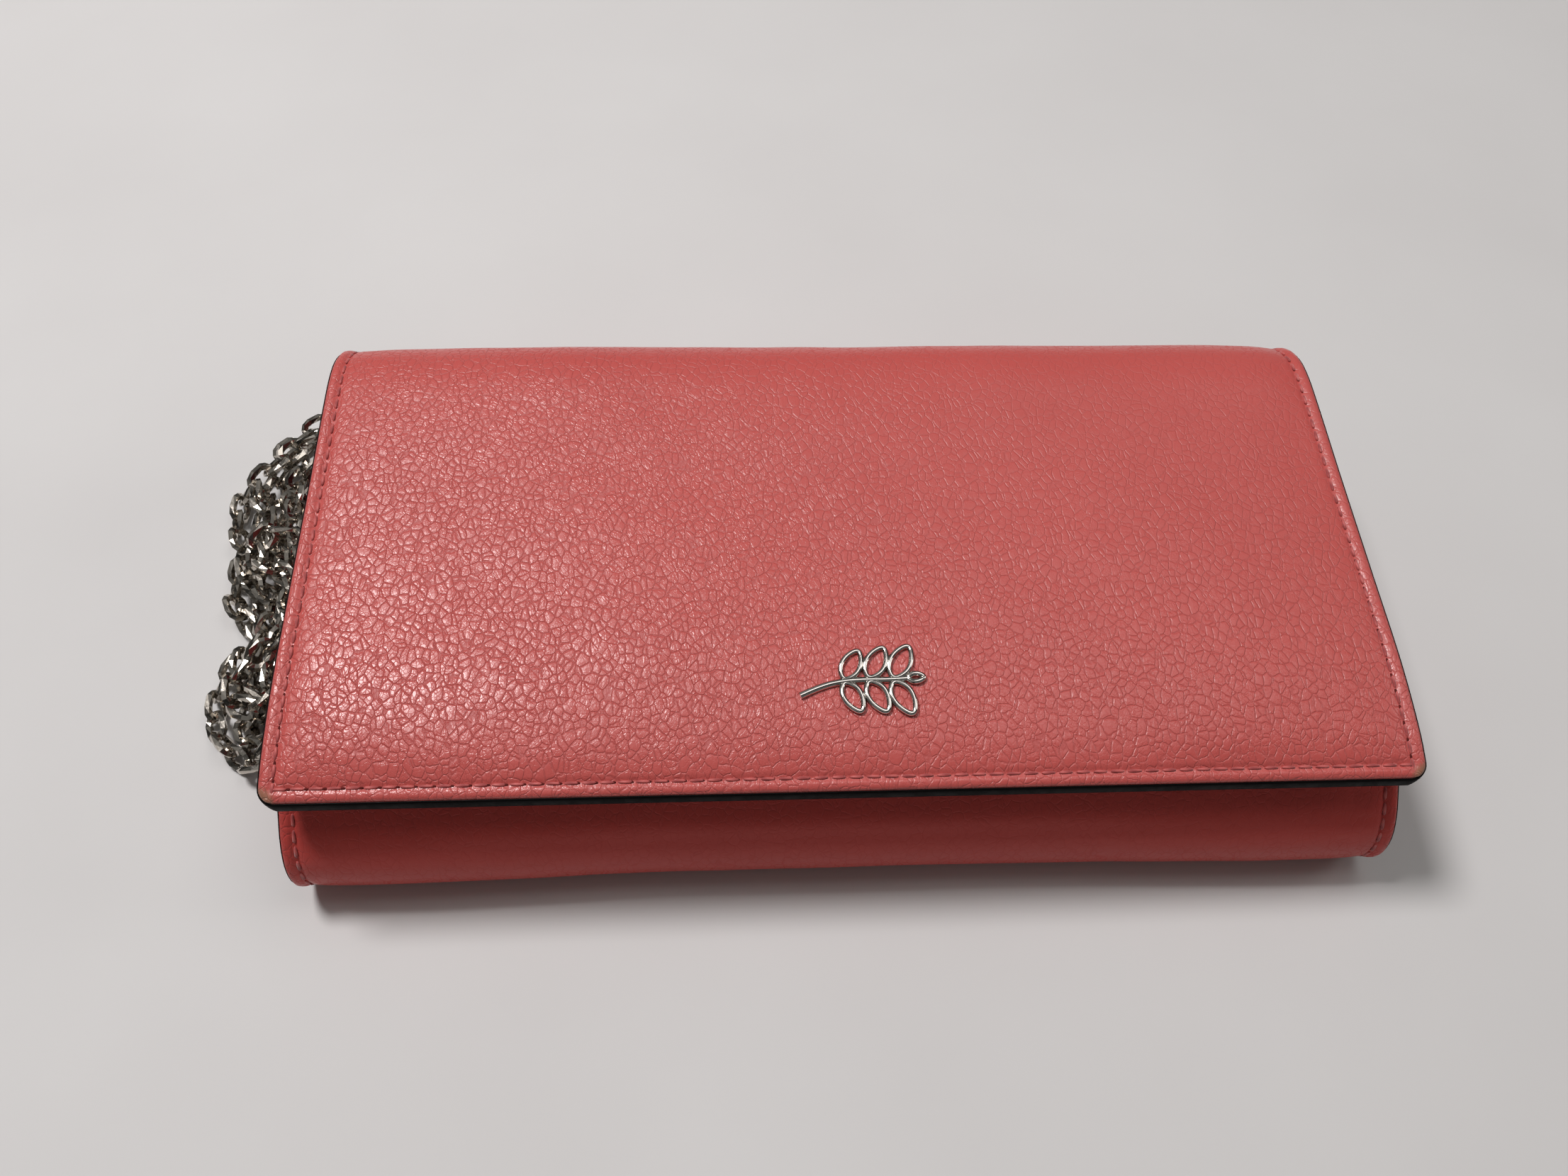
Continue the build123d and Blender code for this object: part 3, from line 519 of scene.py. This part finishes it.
def set_along(name, path, shape_mesh, values, smooth=True):
    """A shape repeated along a path, as one plain mesh."""
    shape = bpy.data.objects.new(name + "_shape", shape_mesh)
    modifier = path.modifiers.new("copies", "NODES")
    modifier.node_group = ALONG_PATH
    settings = {"Shape": shape, **values}
    for item in ALONG_PATH.interface.items_tree:
        if item.in_out == "INPUT" and item.name in settings:
            modifier[item.identifier] = settings[item.name]
    made = converted(path, name)
    bpy.data.objects.remove(shape)
    return finished(made, values["Material"], smooth)


def make_chain():
    """The whole chain: links laid over each other, every second one rolled the other way."""
    path = route_spline("chain_path", CHAIN_ROUTE)
    chain = set_along(
        "curb_chain", path, link_shape(),
        {
            "Pitch": 4.5 * MM, "Roll": math.radians(-42), "Alternate roll": math.radians(84),
            "Random roll": math.radians(16), "Random yaw": math.radians(9), "Start": 0.0,
            "Material": CHAIN_METAL,
        },
        smooth=False,
    )
    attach(chain, "back")
    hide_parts("chain_heap", "chain_lead", "chain_rear_run")


make_chain()

# ---------------------------------------------------------------- wrap of leather
# Outer line of the one piece of leather, in (y, z): flap's front edge, over the crown, down
# the spine, under the back, round the bottom fold, up over the shoulder to the mouth.
WRAP = [
    (-49.0, 30.4), (-46.0, 31.8), (-40.0, 33.5), (-28.0, 35.5), (-10.0, 37.1), (10.0, 38.9),
    (27.0, 40.6), (36.0, 41.2), (42.0, 40.3), (47.2, 37.2), (51.2, 31.8), (53.4, 25.4),
    (54.0, 19.0), (53.8, 12.0), (53.2, 7.0), (51.6, 3.0), (48.0, 0.7), (42.0, 0.1),
    (20.0, 0.1), (-10.0, 0.1), (-36.0, 0.1), (-44.0, 0.3), (-49.0, 1.6), (-52.2, 4.6),
    (-53.6, 9.0), (-52.8, 13.6), (-50.2, 17.6), (-46.8, 20.8), (-43.4, 23.7), (-39.4, 25.6),
    (-30.0, 27.0), (0.0, 30.6), (38.0, 35.35),
]
SPINE_TOP = 12  # the flap's piece ends at this point of the wrap
SPINE_FOOT = 17  # the body's piece starts at this point
SHOULDER = 26  # the front panel's shoulder
LINING_END = 8  # the flap's lining stops at this point
LINING_INSET = 0.3
FLAP_LEATHER = 1.2
FLAP_FULL = 2.3  # flap's leather, board and lining
BODY_LEATHER = 1.5
SEAM_INSET = 2.35
STITCH_PITCH = 2.9
CORNER = 2.6  # plan radius of the flap's front corners
HALF_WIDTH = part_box("flap_leather")[1].x / MM
CORNER_STEPS = 8  # parts of each front corner's quarter turn
FOLD_BOW = 1.5  # the bottom fold bows in towards its ends
RIGHT_SINK = 0.014  # the right side lies this share lower than the middle
FLOOR_GAP = 0.02
SEAM_STEP = 0.45  # spacing of points near a seam, and how far that reaches
SEAM_REACH = 6.0
HIDE_WAVES = ((34, 30, 0.7, 0.35), (13, 11, 4.2, 0.12))  # lengths across and along, place, height
PULL_RIGHT, PULL_LEFT = 0.20, 0.10  # height of the ripples that the side stitches pull up


def smooth_line(points, step=0.5):
    """Points on a Catmull-Rom line, with the distance run at each and at each given point."""
    given = [Vector(p) for p in points]
    held = [2 * given[0] - given[1], *given, 2 * given[-1] - given[-2]]
    line, run, knots = [given[0]], [0.0], [0.0]
    for a, b, c, d in zip(held, held[1:], held[2:], held[3:]):
        count = max(2, round((c - b).length / step))
        for i in range(1, count + 1):
            t = i / count
            place = 0.5 * (
                2 * b + (c - a) * t + (2 * a - 5 * b + 4 * c - d) * t**2 + (3 * b - a - 3 * c + d) * t**3
            )
            run.append(run[-1] + (place - line[-1]).length)
            line.append(place)
        knots.append(run[-1])
    return line, run, knots


wrap_line, wrap_run, wrap_knots = smooth_line(WRAP)
wrap_length = wrap_run[-1]


def on_wrap(s):
    """Place and outward normal, in (y, z), at a distance s along the wrap."""
    low = min(max(bisect_right(wrap_run, s) - 1, 0), len(wrap_run) - 2)
    high = low + 1
    share = (s - wrap_run[low]) / (wrap_run[high] - wrap_run[low])
    before, after = wrap_line[max(low - 1, 0)], wrap_line[min(high + 1, len(wrap_line) - 1)]
    tangent = (after - before).normalized()
    return wrap_line[low].lerp(wrap_line[high], share), Vector((-tangent.y, tangent.x))


def wrap_point(x, s, out=0.0):
    """Point of the wrap, out millimetres proud of its face, with the body's soft bow."""
    place, normal = on_wrap(s)
    share = x / HALF_WIDTH
    y = place.x + out * normal.x
    z = place.y + out * normal.y
    fold = clamp((-y - 44) / 8) * clamp((26 - z) / 10)
    y += FOLD_BOW * fold * (1 - share**2)
    z = max(FLOOR_GAP, z * (1 - RIGHT_SINK * share))
    return Vector((x, y, z)) * MM


def steps_between(start, end, coarse=1.5, fine_start=False, fine_end=False):
    """Values from start to end, closer together near an end that carries a seam."""
    values = [start]
    while values[-1] < end - 1e-6:
        near = min(
            values[-1] - start if fine_start else math.inf,
            end - values[-1] if fine_end else math.inf,
        )
        values.append(min(end, values[-1] + (SEAM_STEP if near < SEAM_REACH else coarse)))
    return values


def seam_relief(edge, along):
    """Height of the rolled margin, the stitched valley and the padding inside it."""
    bead = 0.34 * math.sqrt(max(0.0, 1 - ((edge - 1.1) / 1.2) ** 2))
    pucker = 0.10 * math.cos(2 * math.pi * along / STITCH_PITCH)
    valley = -(0.32 + pucker) * math.exp(-(((edge - SEAM_INSET) / 0.5) ** 2))
    padding = 0.8 * (1 - math.exp(-max(0.0, edge - SEAM_INSET) / 5.0))
    rolled = -0.35 * max(0.0, 1 - edge / 0.6) ** 2
    return bead + valley + padding + rolled


def slow_waves(x, s):
    """Unevenness of a hand-worked hide over a stiff board."""
    broad, middle = (
        noise.noise(Vector((x / across, s / along, place))) * height
        for across, along, place, height in HIDE_WAVES
    )
    near = math.exp(-max(0.0, HALF_WIDTH - abs(x) - SEAM_INSET) / 6)
    pull = PULL_RIGHT if x > 0 else PULL_LEFT
    return broad + middle + noise.noise(Vector((s / 1.5, x / 16, 9.1))) * pull * near


def shell(name, outer, inner, material, uv, attributes=None):
    """Closed sheet between two grids of points of the same size."""
    rows, columns = len(outer), len(outer[0])
    count = rows * columns
    points = [p for grid in (outer, inner) for row in grid for p in row]
    faces = []
    for r in range(rows - 1):
        for c in range(columns - 1):
            a = r * columns + c
            b, d = a + 1, a + columns
            faces.append((a, b, d + 1, d))
            faces.append((a + count, d + count, d + 1 + count, b + count))
    top = list(range(columns))
    right = [r * columns + columns - 1 for r in range(rows)]
    bottom = [(rows - 1) * columns + c for c in range(columns - 1, -1, -1)]
    left = [r * columns for r in range(rows - 1, -1, -1)]
    loop = top + right[1:] + bottom[1:] + left[1:]
    for a, b in zip(loop, loop[1:]):
        faces.append((b, a, a + count, b + count))
    mesh = new_mesh(name, points, faces)
    flat = [v for row in uv for v in row] * 2
    corner = [0] * len(mesh.loops)
    mesh.loops.foreach_get("vertex_index", corner)
    mesh.uv_layers.new(name="hide").data.foreach_set("uv", [value for i in corner for value in flat[i]])
    for label, grid in (attributes or {}).items():
        values = [v for row in grid for v in row] * 2
        mesh.attributes.new(label, "FLOAT", "POINT").data.foreach_set("value", values)
    return finished(placed(name, mesh), material)


def half_span(s):
    """Half width of the flap near its rounded front corners."""
    if s >= CORNER:
        return HALF_WIDTH
    return HALF_WIDTH - CORNER + math.sqrt(CORNER**2 - (CORNER - s) ** 2)


def cover(name, start, end, thickness, grain, material, front_seam=False):
    """Piece of the wrap from start to end, with its relief outside and a plain inner face."""
    across = steps_between(-HALF_WIDTH, HALF_WIDTH, fine_start=True, fine_end=True)
    grids = {label: [] for label in ("outer", "inner", "uv", "grain", "rub")}
    for s in steps_between(start, end, 0.9, fine_start=front_seam):
        span = half_span(s) if front_seam else HALF_WIDTH
        for grid in grids.values():
            grid.append([])
        for u in across:
            x = u * span / HALF_WIDTH
            side = span - abs(x)
            edge = min(side, s - start) if front_seam else side
            relief = seam_relief(edge, s if side < s - start or not front_seam else x)
            relief += slow_waves(x, s) * clamp((edge - 2.4) / 4)
            tip = math.hypot(HALF_WIDTH - abs(x), s - start)
            grids["outer"][-1].append(wrap_point(x, s, relief))
            grids["inner"][-1].append(wrap_point(x, s, -thickness))
            grids["uv"][-1].append((x * MM, s * MM))
            grids["grain"][-1].append(grain(x, s, edge))
            grids["rub"][-1].append(max(0.0, 1 - tip / 5.5) if front_seam else 0.0)
    outer, inner, uv, strength, rub = grids.values()
    return shell(name, outer, inner, material, uv, {"grain": strength, "rub": rub})


def flap_grain(x, s, edge):
    """Grain is deep at the front left and finer towards the crown and the right."""
    rearward = clamp((s - 20) / 70)
    rightward = clamp((x + 70) / 110)
    depth = 1.0 - 0.25 * rearward - 0.35 * rightward * (0.5 + 0.5 * rearward)
    return depth * (0.75 + 0.25 * clamp((edge - 2.2) / 5))


def body_grain(x, s, edge):
    """Grain is pressed nearly flat below the flap, but shows at the edges and the shoulder."""
    shoulder = clamp((s - wrap_knots[SHOULDER]) / 8)
    return 0.22 + 0.4 * max(0.0, 1 - edge / 5) + 0.3 * shoulder


flap_end = wrap_knots[SPINE_TOP]
body_start = wrap_knots[SPINE_FOOT]


def bend(piece):
    """Bakes a piece of the wrap's placing into its points; the piece is not bent."""
    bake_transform(piece)


def make_covers():
    """The three pieces of the wrap: flap, spine, and back with the front panel."""
    flap = cover("flap_cover", 0.0, flap_end, FLAP_LEATHER, flap_grain, CALF, front_seam=True)
    bend(flap)
    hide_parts("flap_leather")
    spine = cover("spine_cover", flap_end, body_start, BODY_LEATHER, flap_grain, CALF)
    bend(spine)
    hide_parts("spine_leather")
    # the body's piece takes the coral calf with painted shade in its colour
    body = cover("body_cover", body_start, wrap_length, BODY_LEATHER, body_grain, CALF_BODY_PAINTED_SHADE)
    bend(body)
    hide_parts("back_panel", "front_panel")


make_covers()


def make_flap_lining():
    """Board and lining under the flap's leather, dimpled down round the snap's stud."""
    stud_low, stud_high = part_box("snap_stud")
    stud = (stud_low + stud_high) / 2 / MM
    half_lining = HALF_WIDTH - LINING_INSET
    across = steps_between(-half_lining, half_lining, 2.0)
    outer, inner, uv = [], [], []
    for s in steps_between(LINING_INSET, wrap_knots[LINING_END], 2.0):
        span = (half_span(s) - LINING_INSET) / half_lining
        for grid in (outer, inner, uv):
            grid.append([])
        for u in across:
            x = u * span
            face = wrap_point(x, s, -FLAP_FULL) / MM
            reach = math.hypot(x - stud.x, face.y - stud.y)
            near = clamp((16 - reach) / 9)
            near = near * near * (3 - 2 * near)
            seat = stud_high.z / MM + 0.124 * (face.y - stud.y) - 0.55
            face.z += near * min(0.0, seat - face.z)
            outer[-1].append(wrap_point(x, s, -FLAP_LEATHER - 0.01))
            inner[-1].append(face * MM)
            uv[-1].append((x * MM, s * MM))
    lining = shell("flap_lining_sheet", outer, inner, INNER_CALF, uv)
    bend(lining)
    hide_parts("flap_lining", "flap_board")


make_flap_lining()


def swept_band(name, places, material):
    """Closed bar through cross sections, each a ring of points."""
    size = len(places[0])
    points = [p for ring in places for p in ring]
    faces = []
    for i in range(len(places) - 1):
        for k in range(size):
            j = (k + 1) % size
            a, b = i * size, (i + 1) * size
            faces.append((a + k, a + j, b + j, b + k))
    faces.append(tuple(range(size - 1, -1, -1)))
    last = (len(places) - 1) * size
    faces.append(tuple(range(last, last + size)))
    return finished(placed(name, new_mesh(name, points, faces)), material)


def edge_ring(x, s, aside, ahead, full, proud=0.32):
    """Cross section of edge paint: a round nose outside, buried inside; upright in front."""
    top = wrap_point(x, s, -0.12)
    level = (top - wrap_point(x, s, -1.0)).normalized()
    rise = (level * abs(aside) + Vector((0, 0.05, 1)) * abs(ahead)).normalized()
    run = (wrap_point(x, min(s + 0.5, wrap_length), 0) - wrap_point(x, max(s - 0.5, 0), 0)).normalized()
    out = Vector((1, 0, 0)) * aside + run * ahead
    out = (out - rise * out.dot(rise)).normalized()
    centre = top - rise * (full / 2 - 0.06) * MM
    ring = []
    for k in range(9):
        angle = math.pi * (k / 8 - 0.5)
        lift = math.sin(angle) * (full / 2 - 0.06)
        nose = math.cos(angle) ** 0.7 * proud if 0 < k < 8 else 0.0
        ring.append(centre + rise * lift * MM + out * nose * MM)
    ring.append(centre + rise * (full / 2 - 0.2) * MM - out * 0.5 * MM)
    ring.append(centre - rise * (full / 2 - 0.1) * MM - out * (0.5 + 1.2 * abs(ahead)) * MM)
    return ring


def make_flap_edge():
    """Paint round the flap: up the left side, along the front, back up the right."""
    side = [(HALF_WIDTH, s, 1, 0) for s in steps_between(CORNER, flap_end)[::-1]]
    for k in range(1, CORNER_STEPS):
        angle = math.pi / 2 * k / CORNER_STEPS
        along, ahead = math.cos(angle), math.sin(angle)
        x = HALF_WIDTH - CORNER + CORNER * along
        side.append((x, CORNER - CORNER * ahead, along, -ahead))
    front = [(x, 0.0, 0, -1) for x in steps_between(CORNER - HALF_WIDTH, HALF_WIDTH - CORNER, 3.0)]
    outline = [(-x, s, -aside, ahead) for x, s, aside, ahead in side] + front + side[::-1]
    places = [edge_ring(*spot, FLAP_FULL) for spot in outline]
    bend(swept_band("flap_edge_paint", places, EDGE_PAINT))


def make_side_edge(name, side, start, end):
    """Paint along one side of the spine or the body."""
    places = [
        edge_ring(side * HALF_WIDTH, s, side, 0, BODY_LEATHER, proud=0.25)
        for s in steps_between(start, end)
    ]
    bend(swept_band(name, places, EDGE_PAINT))


make_flap_edge()
for name, side in (("left", -1), ("right", 1)):
    make_side_edge(f"spine_edge_paint_{name}", side, flap_end, body_start)
    make_side_edge(f"body_edge_paint_{name}", side, body_start, wrap_length)


# ---------------------------------------------------------------- stitches
def path_through(name, points):
    """A line of edges through points, for a seam to follow."""
    return placed(name, new_mesh(name, points, (), [(i, i + 1) for i in range(len(points) - 1)]))


def lozenge(name, length, breadth, sides=6):
    """Plump bar along X with round ends: one stitch, or one needle hole."""
    stations = [(-0.5, 0.35), (-0.36, 0.85), (0.0, 1.0), (0.36, 0.85), (0.5, 0.35)]
    points, faces = [], []
    for along, fat in stations:
        for k in range(sides):
            angle = 2 * math.pi * k / sides
            points.append(
                (along * length, fat * breadth / 2 * math.cos(angle), fat * breadth / 2 * math.sin(angle))
            )
    for i in range(len(stations) - 1):
        for k in range(sides):
            j = (k + 1) % sides
            faces.append((i * sides + k, (i + 1) * sides + k, (i + 1) * sides + j, i * sides + j))
    faces.append(tuple(range(sides)))
    faces.append(tuple(range(len(points) - 1, len(points) - sides - 1, -1)))
    return new_mesh(name, points, faces)


def make_seam(name, spots):
    """Thread and needle holes along a line of (x, s) spots on the wrap."""
    for part, length, breadth, start, lift, material in (
        ("thread", 2.25, 0.6, 0.0, -0.10, THREAD),
        # needle holes: dark pieces sunk just below the leather, painted shade for the holes' depth
        ("holes", 0.8, 0.55, STITCH_PITCH / 2, -0.26, HOLE_SHADE),
    ):
        path = path_through(name + "_path", [wrap_point(x, s, lift) for x, s in spots])
        piece = set_along(
            f"{name}_{part}", path, lozenge(part, length * MM, breadth * MM),
            {
                "Pitch": STITCH_PITCH * MM, "Roll": 0.0, "Alternate roll": 0.0, "Random roll": 0.0,
                "Random yaw": math.radians(3), "Start": start * MM, "Material": material,
            },
        )
        bend(piece)


def seam_run(x, start, end):
    """Spots of a seam that runs along the wrap at x."""
    return [(x, s) for s in steps_between(start, end, 1.0)]


for name, side in (("left", -1), ("right", 1)):
    seam_x = side * (HALF_WIDTH - SEAM_INSET)
    make_seam(f"flap_seam_{name}", seam_run(seam_x, SEAM_INSET, flap_end))
    make_seam(f"spine_seam_{name}", seam_run(seam_x, flap_end, body_start))
    make_seam(f"body_seam_{name}", seam_run(seam_x, body_start, wrap_length))
front_half = HALF_WIDTH - 3.4  # the front seam stops short of the side seams
make_seam(
    "flap_seam_front",
    [(x, SEAM_INSET) for x in steps_between(-front_half, front_half, 2.0)],
)


# ---------------------------------------------------------------- ornament
# a leaf's outline, out along one side and back along the other, as shares of its length
LEAF = ((0.0, 0.0), (0.3, 0.24), (0.66, 0.22), (1.0, 0.0), (0.66, -0.22), (0.3, -0.24))


def make_sprig():
    """Polished wire sprig with open leaves, on a curved stem."""
    low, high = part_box("emblem")
    centre_x = (low.x + high.x) / 2 / MM
    centre_s = next(r for r, p in zip(wrap_run, wrap_line) if p.x > -31.0)
    curve = bpy.data.curves.new("sprig_lines", "CURVE")
    curve.dimensions = "3D"
    curve.bevel_depth = 0.50 * MM
    curve.bevel_resolution = 3
    curve.use_fill_caps = True

    def stroke(points, closed=False):
        spline = curve.splines.new("NURBS")
        spline.points.add(len(points) - 1)
        for point, (along, up, lift, fat) in zip(spline.points, points):
            point.co = (*wrap_point(centre_x + along, centre_s + up, 1.05 + lift), 1.0)
            point.radius = fat
        spline.order_u = 3
        spline.use_endpoint_u = not closed
        spline.use_cyclic_u = closed

    stem = [(-10.4, -2.6), (-7.0, -1.0), (-3.0, -0.1), (1.0, 0.1), (5.0, 0.0), (8.0, 0.2)]
    stroke([(x, y, 0.0, 1.3 - 0.05 * i) for i, (x, y) in enumerate(stem)])
    leaves = [(8.0, 0.2, 4, 3.2)]
    for i, (x, y) in enumerate(((5.4, 0.0), (1.2, 0.1), (-3.0, -0.1))):
        leaves += [(x, y, 62, 7.6 - 0.4 * i), (x, y, -62, 7.4 - 0.4 * i)]
    for x, y, turn, size in leaves:
        angle = math.radians(turn)
        loop = []
        for along, wide in LEAF:
            a, b = along * size, wide * size
            loop.append((
                x + a * math.cos(angle) - b * math.sin(angle),
                y + a * math.sin(angle) + b * math.cos(angle),
                0.25 * math.sin(math.pi * along), 1.0,
            ))
        stroke(loop, closed=True)
    sprig = finished(converted(placed("sprig", curve), "sprig_ornament"), ORNAMENT_METAL)
    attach(sprig, "flap")
    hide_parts("emblem")


make_sprig()


# ---------------------------------------------------------------- gussets
def make_gusset(name, side):
    """Pleat of thin leather, folded inwards between two panels."""
    low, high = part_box(name)
    foot_y, mouth_y = low.y / MM, high.y / MM
    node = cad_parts[name]
    front = [v.co.z / MM for v in node.data.vertices if v.co.y / MM < foot_y + 0.1]
    rear = [v.co.z / MM for v in node.data.vertices if v.co.y / MM > mouth_y - 0.1]
    outer_x = max(abs(low.x), abs(high.x)) / MM
    deep = outer_x - min(abs(low.x), abs(high.x)) / MM
    outer, inner = [], []
    rows, columns = 60, 18
    for r in range(rows + 1):
        along = r / rows
        y = foot_y + (mouth_y - foot_y) * along
        bottom = min(front) + (min(rear) - min(front)) * along
        top = max(front) + (max(rear) - max(front)) * along
        ripple = 0.35 * noise.noise(Vector((y / 9, side * 3.0, bottom)))
        lines = [], []
        for c in range(columns + 1):
            t = c / columns
            fold = 1 - abs(2 * t - 1) ** 1.5
            x = outer_x - 0.2 - (deep - 1.3) * fold + ripple * fold
            z = bottom + (top - bottom) * t
            lines[0].append(Vector((side * x, y, z)) * MM)
            lines[1].append(Vector((side * (x - 1.0), y, z)) * MM)
        outer.append(lines[0] if side < 0 else lines[1])
        inner.append(lines[1] if side < 0 else lines[0])
    uv = [[(c * 0.8 * MM, r * 1.2 * MM) for c in range(columns + 1)] for r in range(rows + 1)]
    piece = shell(name + "_pleat", inner, outer, INNER_CALF, uv)
    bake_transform(piece)
    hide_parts(name)


for name, side in (("left", -1), ("right", 1)):
    make_gusset(f"{name}_rear_gusset", side)
    make_gusset(
        f"{name}_front_gusset", side,
    )


# ---------------------------------------------------------------- CAD pieces that stay
FINISHES = {
    "lining": LINING_CALF, "card_panel": INNER_CALF, "pocket": INNER_CALF, "ring_tab": CALF_STRAP,
    "zip_tape": TAPE, "zip_teeth": HARDWARE, "zip_stops": HARDWARE, "zip_slider": HARDWARE,
    "zip_pull": HARDWARE, "d_ring": HARDWARE, "jump_ring": HARDWARE, "snap": SNAP_METAL,
    "emblem_washers": SNAP_METAL, "board": BOARD,
}
for name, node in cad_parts.items():
    for word, material in FINISHES.items():
        if word in name:
            for slot in node.material_slots:
                slot.material = material


# ---------------------------------------------------------------- table and light
def make_table():
    size = 4.0
    corners = [(-size, -size, 0), (size, -size, 0), (size, size, 0), (-size, size, 0)]
    table = placed("table", new_mesh("table", corners, [(0, 1, 2, 3)]))
    finished(table, table_paper(), smooth=False)


def area_light(name, way, distance, size, watts, colour):
    """Round soft light that faces the wallet from a way and a distance."""
    data = bpy.data.lights.new(name, "AREA")
    data.shape = "DISK"
    data.size = size
    data.energy = watts
    data.color = linear(colour)[:3]
    lamp = placed(name, data)
    way = Vector(way).normalized()
    lamp.location = way * distance
    lamp.rotation_euler = way.to_track_quat("Z", "Y").to_euler()


ROOM_LIGHT = 0.34


def make_room():
    """Pale room above, dark below eye level, as a mirror finish needs both."""
    world = bpy.data.worlds.new("room")
    world.use_nodes = True
    tree = world.node_tree
    tree.nodes.clear()
    way = add(tree, "ShaderNodeTexCoord", output="Generated")
    height = add(tree, "ShaderNodeSeparateXYZ", {0: way}, 2)
    walls = add(tree, "ShaderNodeTexNoise", {"Vector": way, "Scale": 2.2, "Detail": 1.0}, "Fac")
    patches = add(tree, "ShaderNodeMapRange", {0: walls, 1: 0.45, 2: 0.60, 3: 0.12}, **SMOOTH)
    ceiling = add(tree, "ShaderNodeMapRange", {0: height, 1: 0.05, 2: 0.9, 3: 0.25}, **SMOOTH)
    level = add(tree, "ShaderNodeMath", {0: patches, 1: ceiling}, operation="MULTIPLY")
    level = add(tree, "ShaderNodeMath", {0: level, 1: ROOM_LIGHT}, operation="MULTIPLY")
    shade = add(tree, "ShaderNodeBackground", {"Color": linear("#F4F3F0"), "Strength": level})
    add(tree, "ShaderNodeOutputWorld", {"Surface": shade}, None)
    bpy.context.scene.world = world


make_table()
make_room()
area_light("window_rear_left", (-0.43, 0.25, 1.0), 1.2, 0.30, 10.5, "#FFFCFC")
area_light("ceiling", (0.30, 0.16, 1.0), 1.5, 0.9, 3.4, "#FFFCFB")
area_light("window_right", (1.0, 0.1, 0.62), 1.2, 0.4, 1.2, "#FFFDFA")
bpy.context.scene.view_settings.view_transform = "Standard"
